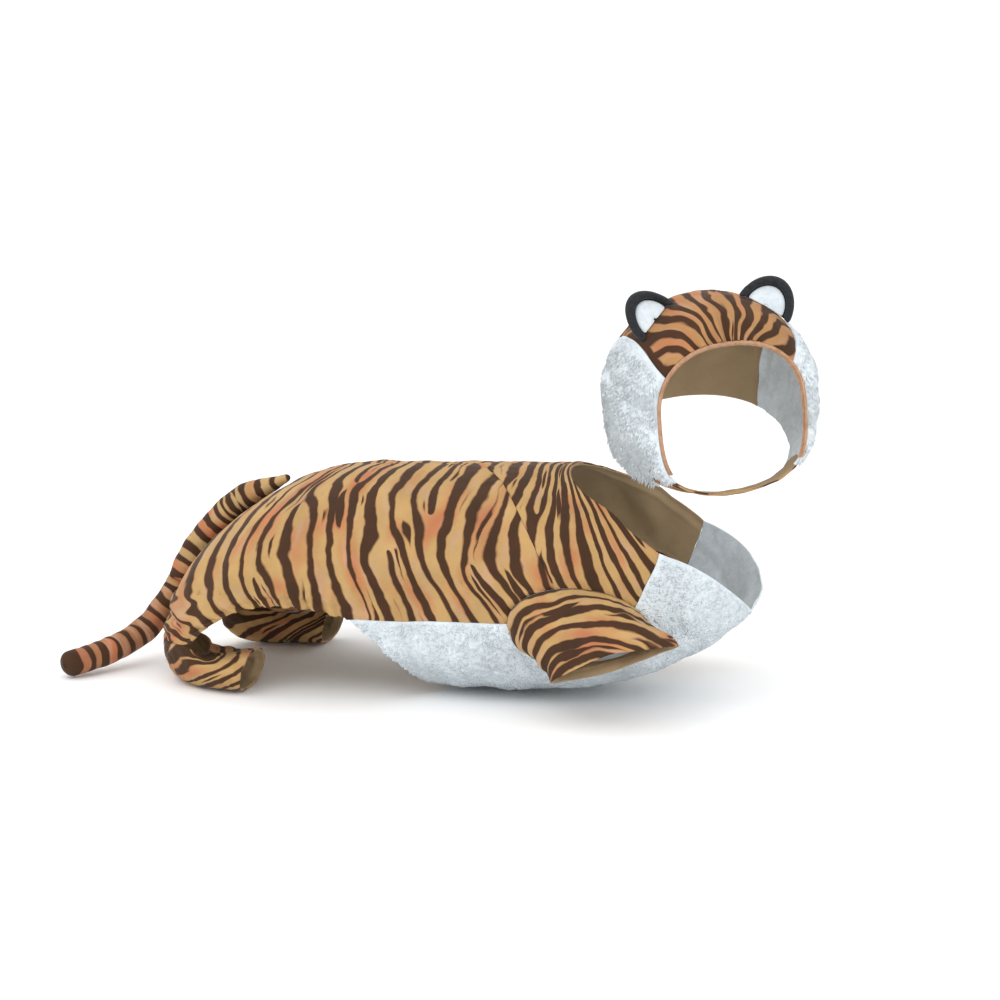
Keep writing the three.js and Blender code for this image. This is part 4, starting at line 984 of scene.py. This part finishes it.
def addTail():
    fromU, toU, steps, drift = tail["onRump"]
    rings, n = tail["rings"], tail["around"]
    along = np.arange(steps + 1) / steps
    u = fromU + (toU - fromU) * along
    v = 0.001 + math.radians(drift) * along ** 2
    off = tailRadiusAt(lengthsAlong(trunkBase(u, v), 0)) + tail["clear"]
    centres = np.vstack([raised(trunkBase(u, v), surfaceNormal(trunkBase, u, v), off), tail["free"]])
    dense = curvePoints(centres, np.linspace(0, 1, 600), closed=False)
    # The rings stand closer together towards the two round ends.
    at = 0.5 - 0.5 * np.cos(math.pi * (np.arange(rings) + 0.5) / rings)
    at = 0.35 * at + 0.65 * np.linspace(at[0], at[-1], rings)
    lengths = lengthsAlong(dense, 0)
    whole = lengths[-1]
    line = np.stack([np.interp(at * whole, lengths, dense[:, k]) for k in range(3)], -1)
    tangent = unit(np.gradient(line, axis=0))
    sideways = unit(np.cross(tangent, np.array([0.35, 0.1, 1.0])))
    upward = np.cross(sideways, tangent)
    ends = np.sqrt(1 - np.clip(1 - np.minimum(at, 1 - at) / tail["endShare"], 0, 1) ** 2)
    turn = 2 * math.pi * np.arange(n) / n
    circle = sideways[:, None] * np.cos(turn)[None, :, None] + upward[:, None] * np.sin(turn)[None, :, None]
    tube = line[:, None] + circle * (tailRadiusAt(at * whole) * ends)[:, None, None]
    # Stuffing packs unevenly, and less of it shows where the tail lies on the floor.
    low = smooth((tube[..., 2] - 2.5) / 5)
    tube = raised(tube, circle, (bumps(tube, tail["bumps"]) + tail["sunk"]) * ends[:, None] * low)
    count = rings * n
    j = np.arange(n)
    k = (j + 1) % n
    last = (rings - 1) * n
    faces = [gridFaces(rings, n, around=True)[:, ::-1], np.stack([np.full(n, count), j, k], -1)[:, ::-1],
             np.stack([np.full(n, count + 1), last + k, last + j], -1)[:, ::-1]]
    across = np.repeat((at * whole / tail["stripeSpacing"])[:, None], n, 1)
    around = np.repeat((np.abs(turn - math.pi) * tail["radius"] / stripeSpacing)[None], rings, 0)
    chart = printChart(across, around, tail["printSeed"]).reshape(-1, 3)
    tip = np.zeros(chart.shape)
    tip[:, 0] = chart[:, 0] - (whole - tail["darkTip"]) / tail["stripeSpacing"]
    charts = {key: np.vstack([values, values[:1], values[-1:]])
              for key, values in (("print", chart), ("seam", tip))}
    obj = makeMesh("stuffed_tail", np.vstack([tube.reshape(-1, 3), dense[:1], dense[-1:]]), faces, charts)
    return addPiece(obj, tigerTail, ["tail"])


stuffedTail = addTail()
print("tail made")

# Hood. A ridge or valley is given by its height, its distance from the edge and its width.
hoodLast = len(hoodRows) - 1
crownPiece = {
    "seamDegrees": (55, 54, 53, 52, 51, 51, 52, 53, 54), "columns": 72, "rows": 132, "partColumns": 8,
    "partRows": 18, "gatherHeight": 2.4, "puckerHeight": 1.0, "puckersPerRow": 0.81, "puckerReach": 22,
    "bumps": ((0.6, 36, 71), (0.3, 14, 73)), "sunk": -0.35, "valley": (-1.0, 0, 3.0), "fanFrom": 34,
    "stripesPerRadian": 5.4, "printShift": 0.3, "printSeed": 25.0, "lengthSpacing": 22.0,
    "bend": (0.22, 34, 75), "bendSpacing": 9.0, "seamStripe": (4.4, 4.0, 12.0, -0.05),
    "seamStripeEnds": (0.6, 62, 25),
}
hoodSide = {"columns": 60, "rows": 60, "chin": 134.0, "lift": 0.6, "thickness": 3.4, "valley": (-0.8, 0, 4.0),
            "bumps": ((1.2, 34, 81), (0.6, 14, 83), (0.3, 7, 85))}


def crownSeamAngle(u):
    return np.radians(rowValue(np.array(crownPiece["seamDegrees"], float)[:, None], 0, u))


def addCrown():
    s, t = gridShares(crownPiece["columns"], crownPiece["rows"])
    u = s * hoodLast
    v = crownSeamAngle(u) * (2 * t - 1)
    points, normals = hoodPoint(u, v), surfaceNormal(hoodPoint, u, v)
    column, row = s * crownPiece["partColumns"], t * crownPiece["partRows"]
    atBrow = smooth(1 - (crownPiece["partColumns"] - column) / 3)
    inMiddle = smooth((np.minimum(row, crownPiece["partRows"] - row) - 4) / 2.5)
    brow, seam = nearEdge(points, ["end"]), nearEdge(points, ["near", "far"])
    height = crownPiece["gatherHeight"] * np.cos(math.pi * row) * atBrow * inMiddle
    height += (crownPiece["puckerHeight"] * np.cos(2 * math.pi * row * crownPiece["puckersPerRow"] + 1.0)
               * np.exp(-brow / crownPiece["puckerReach"]) * inMiddle)
    height += bumps(points, crownPiece["bumps"]) + crownPiece["sunk"] + ridge(seam, *crownPiece["valley"])
    points = raised(points, normals, height)
    # Stripes fan out from the middle of the brow, over the crown and down to the neck edge.
    local = hoodLocal(u, v)[..., 1] * right
    down = lengthsAlong(points, 0)
    fromBrow = down[-1:] - down + crownPiece["fanFrom"]
    radius = np.hypot(local, fromBrow)
    bent = np.sin(radius / crownPiece["bendSpacing"]) * ridge(fromBrow, *crownPiece["bend"])
    fan = np.arctan2(local, fromBrow) * crownPiece["stripesPerRadian"] + crownPiece["printShift"]
    chart = printChart(fan + bent, radius / crownPiece["lengthSpacing"], crownPiece["printSeed"])
    # One more stripe lies beside the near seam and ends short of the brow.
    halfWidth, at, spacing, offset = crownPiece["seamStripe"]
    fade, begins, over = crownPiece["seamStripeEnds"]
    beside = np.zeros(points.shape)
    beside[..., 0] = ((halfWidth - np.abs(nearEdge(points, ["far"]) - at)) / spacing + offset
                      - fade * smooth((nearEdge(points, ["end"]) - begins) / over))
    obj = clothWall("hood_crown_cloth", points, normals, chart, seam=beside)
    return addPiece(obj, tigerHood, ["hood_crown"])


def addHoodSide(side):
    s, t = gridShares(hoodSide["columns"], hoodSide["rows"])
    u = s * hoodLast
    top = crownSeamAngle(u)
    v = (top + (math.radians(hoodSide["chin"]) - top) * t) * (-1 if side == "left" else 1)
    points, normals = hoodPoint(u, v), surfaceNormal(hoodPoint, u, v)
    cut = nearEdge(points, ["start", "end", "near", "far"])
    height = hoodSide["lift"] + bumps(points, hoodSide["bumps"]) + ridge(cut, *hoodSide["valley"])
    points = raised(points, normals, height)
    obj = clothWall("hood_side_cloth_" + side, points, normals, thickness=hoodSide["thickness"])
    if side == "left":
        obj.data.flip_normals()
    addPiece(obj, whitePlush, ["hood_side_" + side])
    return obj, points, normals


chinStrap = {"fromU": 1.2, "toU": 6.8, "columns": 30, "rows": 40, "bumps": ((0.4, 20, 91),),
             "stripeSpacing": 14.0, "printShift": 0.4, "printSeed": 29.0}


def addStrap():
    s, t = gridShares(chinStrap["columns"], chinStrap["rows"])
    chin = math.radians(hoodSide["chin"])
    u = chinStrap["fromU"] + (chinStrap["toU"] - chinStrap["fromU"]) * s
    v = chin + (2 * math.pi - 2 * chin) * t
    points, normals = hoodPoint(u, v), surfaceNormal(hoodPoint, u, v)
    points = raised(points, normals, bumps(points, chinStrap["bumps"]))
    across = lengthsAlong(points, 0) / chinStrap["stripeSpacing"] + chinStrap["printShift"]
    chart = printChart(across, lengthsAlong(points, 1) / stripeSpacing, chinStrap["printSeed"])
    obj = clothWall("chin_strap_cloth", points, normals, chart)
    return addPiece(obj, tigerStrap, ["chin_strap"])


faceBinding = {"depth": 4.0, "thickness": 3.0, "degrees": 126.0, "columns": 12, "rows": 240, "bulge": 0.6,
               "lift": 0.4, "crown": 1.0, "edgeDrop": 0.9, "browPuckers": (0.5, 62), "puckers": (0.25, 150)}


def bindingPoint(u, v):
    edgePoint, behind = hoodPoint(hoodLast, v), hoodPoint(hoodLast - 0.3, v)
    return edgePoint + unit(edgePoint - behind) * u[..., None]


def addBinding():
    s, t = gridShares(faceBinding["columns"], faceBinding["rows"])
    u, v = s * faceBinding["depth"], math.radians(faceBinding["degrees"]) * (2 * t - 1)
    points, normals = bindingPoint(u, v), surfaceNormal(bindingPoint, u, v)
    # The strip is rolled round the edge, and puckers over the gathers at the brow.
    atBrow = smooth(1.6 - np.abs(v) * 2)
    (browHeight, browCount), (puckerHeight, puckerCount) = faceBinding["browPuckers"], faceBinding["puckers"]
    height = (faceBinding["lift"] + faceBinding["crown"] * np.sin(math.pi * s)
              - faceBinding["edgeDrop"] * np.abs(2 * s - 1) ** 4
              + browHeight * np.cos(v * browCount) * atBrow + puckerHeight * np.cos(v * puckerCount))
    points = raised(points, normals, height)
    obj = clothWall("face_binding_cloth", points, normals, thickness=faceBinding["thickness"],
                    bulge=faceBinding["bulge"])
    return addPiece(obj, tanKnit, ["face_binding"])


crown = addCrown()
hoodSideRight, hoodRightPoints, hoodRightNormals = addHoodSide("right")
hoodSideLeft, hoodLeftPoints, hoodLeftNormals = addHoodSide("left")
strap = addStrap()
binding = addBinding()
print("hood made")


def softCopy(node, name, levels):
    # A padded piece on its node's own form: its mesh is joined up, made of quads and rounded.
    obj = bpy.data.objects.new(name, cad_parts[node].data.copy())
    bpy.context.scene.collection.objects.link(obj)
    obj.data.materials.clear()
    bpy.context.view_layer.objects.active = obj
    for other in bpy.context.selected_objects:
        other.select_set(False)
    obj.select_set(True)
    bpy.ops.object.mode_set(mode="EDIT")
    bpy.ops.mesh.select_all(action="SELECT")
    bpy.ops.mesh.remove_doubles(threshold=0.00001)
    bpy.ops.mesh.tris_convert_to_quads(face_threshold=math.radians(60), shape_threshold=math.radians(60))
    bpy.ops.object.mode_set(mode="OBJECT")
    rounded = obj.modifiers.new("rounded", "SUBSURF")
    rounded.levels = rounded.render_levels = levels
    bpy.ops.object.modifier_apply(modifier=rounded.name)
    obj.data.polygons.foreach_set("use_smooth", np.ones(len(obj.data.polygons), bool))
    return obj


for side in sides:
    for node, name, plush, slot in (("ear_", "ear_plush_", blackPlush, "black_plush"),
                                    ("ear_front_", "ear_front_plush_", whitePlush, "white_plush")):
        addPiece(softCopy(node + side, name + side, 2), plush, [node + side])
print("ears made")

# Pile


def addTufts(name, points, normals, settings, material, seed):
    # Tufts of fibre standing on a grid of points, as one mesh of small closed spikes with a bend in each.
    random = np.random.default_rng(seed)
    count = settings["count"]
    a, b, c, d = points[:-1, :-1], points[1:, :-1], points[1:, 1:], points[:-1, 1:]
    corners = ((b - a, d - a), (b - c, d - c))
    area = sum(np.linalg.norm(np.cross(one, other), axis=-1) for one, other in corners) / 2
    # None at the very edges, where the pile is sewn in.
    inside = nearEdge(points, ["start", "end", "near", "far"])[:-1, :-1] > settings["clear"]
    share = (area * inside / (area * inside).sum()).ravel()
    i, j = np.unravel_index(random.choice(len(share), count, p=share), area.shape)
    s, t = random.random((2, count, 1))
    root = a[i, j] * (1 - s) * (1 - t) + b[i, j] * s * (1 - t) + c[i, j] * s * t + d[i, j] * (1 - s) * t
    normal = unit(normals[i, j] * (1 - s) + normals[i + 1, j] * s)
    # Locks of tufts lean together, and each tuft strays a little from its lock but stays clear of the cloth.
    lock = np.stack([softNoise(root, settings["lock"], seed + k) for k in (1, 2, 3)], -1)
    way = unit(normal * settings["stand"] + settings["lean"] + lock * settings["swirl"]
               + random.normal(0, settings["stray"], (count, 3)))
    way = unit(way + normal * np.maximum(0.0, settings["lift"] - (way * normal).sum(-1, keepdims=True)))
    length = settings["length"] * random.uniform(0.6, 1.15, (count, 1))
    length = length * (1 + 0.25 * softNoise(root, 40, seed + 9))[:, None]
    sideways = unit(np.cross(way, normal + random.normal(0, 0.3, (count, 3))))
    third = np.cross(sideways, way)
    wide = settings["width"] * random.uniform(0.7, 1.3, (count, 1))
    droop = np.array([0, 0, -settings["droop"]]) * length
    root = root - normal * settings["rooted"]
    # Three points at the root, three half way up and one at the tip.
    rings = []
    for level, girth in ((0.0, 1.0), (0.5, 0.8)):
        centre = root + way * length * level + droop * level ** 2
        for turn in (0, 2 * math.pi / 3, 4 * math.pi / 3):
            rings.append(centre + (sideways * math.cos(turn) + third * math.sin(turn)) * wide * girth / 2)
    rings.append(root + way * length + droop)
    first = (np.arange(count) * len(rings))[:, None]
    quads = np.concatenate([first + [3 + k, 3 + (k + 1) % 3, (k + 1) % 3, k] for k in range(3)])
    tris = np.concatenate([first + [6, 3 + (k + 1) % 3, 3 + k] for k in range(3)] + [first + [0, 1, 2]])
    obj = makeMesh(name, np.stack(rings, 1).reshape(-1, 3), [quads, tris])
    return addPiece(obj, material)


longPile = {"count": 11000, "length": 6.6, "width": 1.7, "stand": 0.3, "lean": (-0.2, 0.05, -0.75),
            "lock": 24, "swirl": 0.12, "stray": 0.07, "lift": 0.28, "droop": 0.12, "clear": 2.5,
            "rooted": 0.5}
shortPile = {"count": 11000, "length": 2.6, "width": 2.5, "stand": 0.12, "lean": (-0.5, 0.0, -0.4),
             "lock": 30, "swirl": 0.08, "stray": 0.03, "lift": 0.12, "droop": 0.04, "clear": 1.0,
             "rooted": 0.5}
addTufts("hood_pile_right", hoodRightPoints, hoodRightNormals, longPile, whiteTuftsLightened, 101)
addTufts("hood_pile_left", hoodLeftPoints, hoodLeftNormals, longPile, whiteTuftsLightened, 111)
addTufts("chest_pile", chestPoints, chestNormals, shortPile, whitePlush, 121)
addTufts("belly_pile", bellyPoints, bellyNormals, shortPile, whitePlush, 131)
print("pile made")

# Floor and light
studio = {
    "floorHalf": 30.0, "floor": "FBFBFB", "floorRoughness": 0.95, "world": 1.25,
    "key": ((-0.9, -2.0, 2.2), (0.05, 0, -0.05), 1.6, 15),
    "fill": ((1.9, -1.8, 1.0), (0.1, 0, -0.05), 1.8, 5),
}


def addFloor():
    mesh = bpy.data.meshes.new("studio_floor")
    half, z = studio["floorHalf"], -heldAt[2] * metres
    corners = [(-half, -half, z), (half, -half, z), (half, half, z), (-half, half, z)]
    mesh.from_pydata(corners, [], [(0, 1, 2, 3)])
    floor = bpy.data.objects.new("studio_floor", mesh)
    bpy.context.scene.collection.objects.link(floor)
    material, tree = newMaterial("white_paper")  # matt white seamless paper: it only catches the shadow
    shader = addNode(tree, "ShaderNodeBsdfPrincipled", {"Base Color": linear(studio["floor"]),
                                                        "Roughness": studio["floorRoughness"]})
    addNode(tree, "ShaderNodeOutputMaterial", links={"Surface": shader})
    mesh.materials.append(material)


def addLight(name):
    # An area light at a place in metres, aimed at another, with its size and its power in watts.
    at, aim, size, power = studio[name]
    lamp = bpy.data.lights.new(name, "AREA")
    lamp.size, lamp.energy = size, power
    light = bpy.data.objects.new(name, lamp)
    bpy.context.scene.collection.objects.link(light)
    light.location = at
    light.rotation_mode = "QUATERNION"
    light.rotation_quaternion = (Vector(aim) - Vector(at)).to_track_quat("-Z", "Y")


addFloor()
world = bpy.data.worlds.new("studio")
bpy.context.scene.world = world
world.use_nodes = True
background = world.node_tree.nodes["Background"]
background.inputs["Color"].default_value = linear("FFFFFF")
background.inputs["Strength"].default_value = studio["world"]
addLight("key")
addLight("fill")
bpy.context.scene.view_settings.view_transform = "Standard"

print("scene ready")
